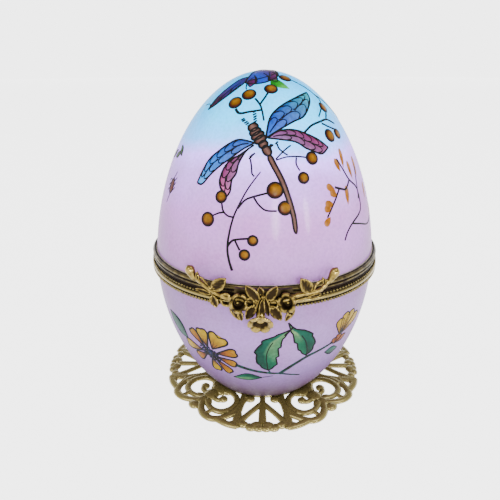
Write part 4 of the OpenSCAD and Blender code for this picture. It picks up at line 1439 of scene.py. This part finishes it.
def right_spray(bm):
    twig(bm, [(10.5, 42.4), (15, 42.9), (20.4, 43), (23.9, 43.5), (26.2, 44.7), (28, 45.8)], 0.6, 0.5)
    twig(bm, [(20.4, 43.2), (21.2, 44.6), (23.4, 45.7), (27, 45.4)], 0.3, 0.3)
    twig(bm, [(10.8, 41), (14.6, 41.6), (18.4, 41.9), (22.6, 41.7)], 0.42, 0.26)
    bud(bm, (27.4, 45.1, 0.7), (31, 48.2, 0.7), 1.25)
    cast_leaf(bm, (25, 44.8), (24.2, 46.6), 0.4)
    cast_leaf(bm, (19, 43.3), (14.8, 47), 1.5)
    cast_leaf(bm, (17.8, 41.9), (23.6, 42.4), 0.6)
    cast_leaf(bm, (12.4, 40.2, 1), (8.6, 36.7, 1.2), 0.8)
    cast_leaf(bm, (9.4, 39.6, 1.4), (11.6, 38.2, 1.2), 0.7)


def open_blossoms(bm):
    cast_flower(bm, on_clasp(-9.0, 41.6, 2.3), polar(26, 1, 0.3), 2.45, 5, 1.5)
    cast_flower(bm, on_clasp(8.5, 41.9, 2.4), polar(-28, 1, 0.3), 2.45, 5, 1.5)
    cast_flower(bm, on_clasp(-5.2, 41.5, 1.6), polar(-4, 1, 0.3), 1.3, 5, 1.1)
    cast_flower(bm, on_clasp(3.9, 41.4, 1.6), polar(4, 1, 0.3), 1.3, 5, 1.1)
    for base, tip, half in (((-1.6, 42.2, 1.3), (-6.8, 46.0, 1.5), 1.15), ((1.2, 42.4, 1.3), (5.2, 45.9, 1.5), 1.1),
                            ((0, 43.4, 1.0), (-2.6, 38.2, 1.3), 0.8), ((0, 43.4, 1.0), (2.2, 38.2, 1.3), 0.8),
                            ((-0.4, 42.6, 1.5), (-0.6, 37.8, 1.7), 0.7), ((-3.4, 41.0, 1.2), (-6.6, 37.3, 1.5), 1.15),
                            ((2.8, 40.8, 1.2), (7.2, 37.2, 1.5), 1.25), ((-0.6, 43.6, 0.9), (-1.6, 45.4, 0.9), 0.8)):
        cast_leaf(bm, base, tip, half)
    twig(bm, [(-12, 42), (-6, 41.4, 0.4), (0, 41.2, 0.4), (6, 41.4, 0.4), (11, 42)], 0.7, 0.7)


def thumb_piece(bm):
    cast_flower(bm, Vector((-0.65, -35.6, 36.2)), Vector((0, -0.91, -0.41)), 3.1, 6, 1.25, 0.1)
    rod(bm, [Vector((-0.5, -34.2, 39.2)), Vector((-0.6, -34.3, 38)), Vector((-0.65, -34.4, 36.8))], [0.9, 1.1, 1.2], 10)


# The flat level of each piece sets how bright its flat faces are; the thumb blossom's higher level is partly a painted
# highlight on its top.
cast_piece("left_spray", left_spray, ("clasp_left_branch", "clasp_left_blossom"), 0.58)
cast_piece("right_spray", right_spray, ("clasp_right_branch", "clasp_right_blossom"), 0.58)
cast_piece("open_blossoms", open_blossoms, ("clasp_centre_blossoms",), 0.42)
cast_piece("thumb_blossom", thumb_piece, ("thumb_flower",), 0.66)


# --- Hinge, catch and cement ---------------------------------------------------
# The hinge leaves, pin and catch stud are plain brass. The tongue and back plate behind the cast spray are a darker
# brass, as painted shade.
# A pale cement line holds each band to its porcelain and the foot to the stand.
hinge_brass = brass("hinge brass", (0.2, 0.165, 0.085), (0.03, 0.021, 0.012), 700.0, 0.1, has_relief=False)
# Painted shade: the tongue and back plate behind the cast spray are given a darker brass.
backing_brass_painted_shade = brass("clasp backing brass", (0.07, 0.05, 0.024), (0.012, 0.008, 0.005), 700.0, 0.0, has_relief=False)
cement_paint, tree = own_material("cement")
surface(cement_paint, {"Roughness": 0.85, "Base Color": colour_ramp(
    tree, object_noise(tree, 2500.0, 4.0), [(0.3, srgb(150, 146, 132)), (0.7, srgb(188, 184, 170))])})
for finish, names in (
        (hinge_brass, ("lid_hinge_leaf", "bowl_hinge_leaf", "hinge_pin", "catch_stud")),
        (backing_brass_painted_shade, ("clasp_back_plate", "clasp_tongue")),
        (cement_paint, ("lid_rim_cement", "bowl_rim_cement", "foot_cement"))):
    for name in names:
        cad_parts[name].data.materials.clear()
        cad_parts[name].data.materials.append(finish)
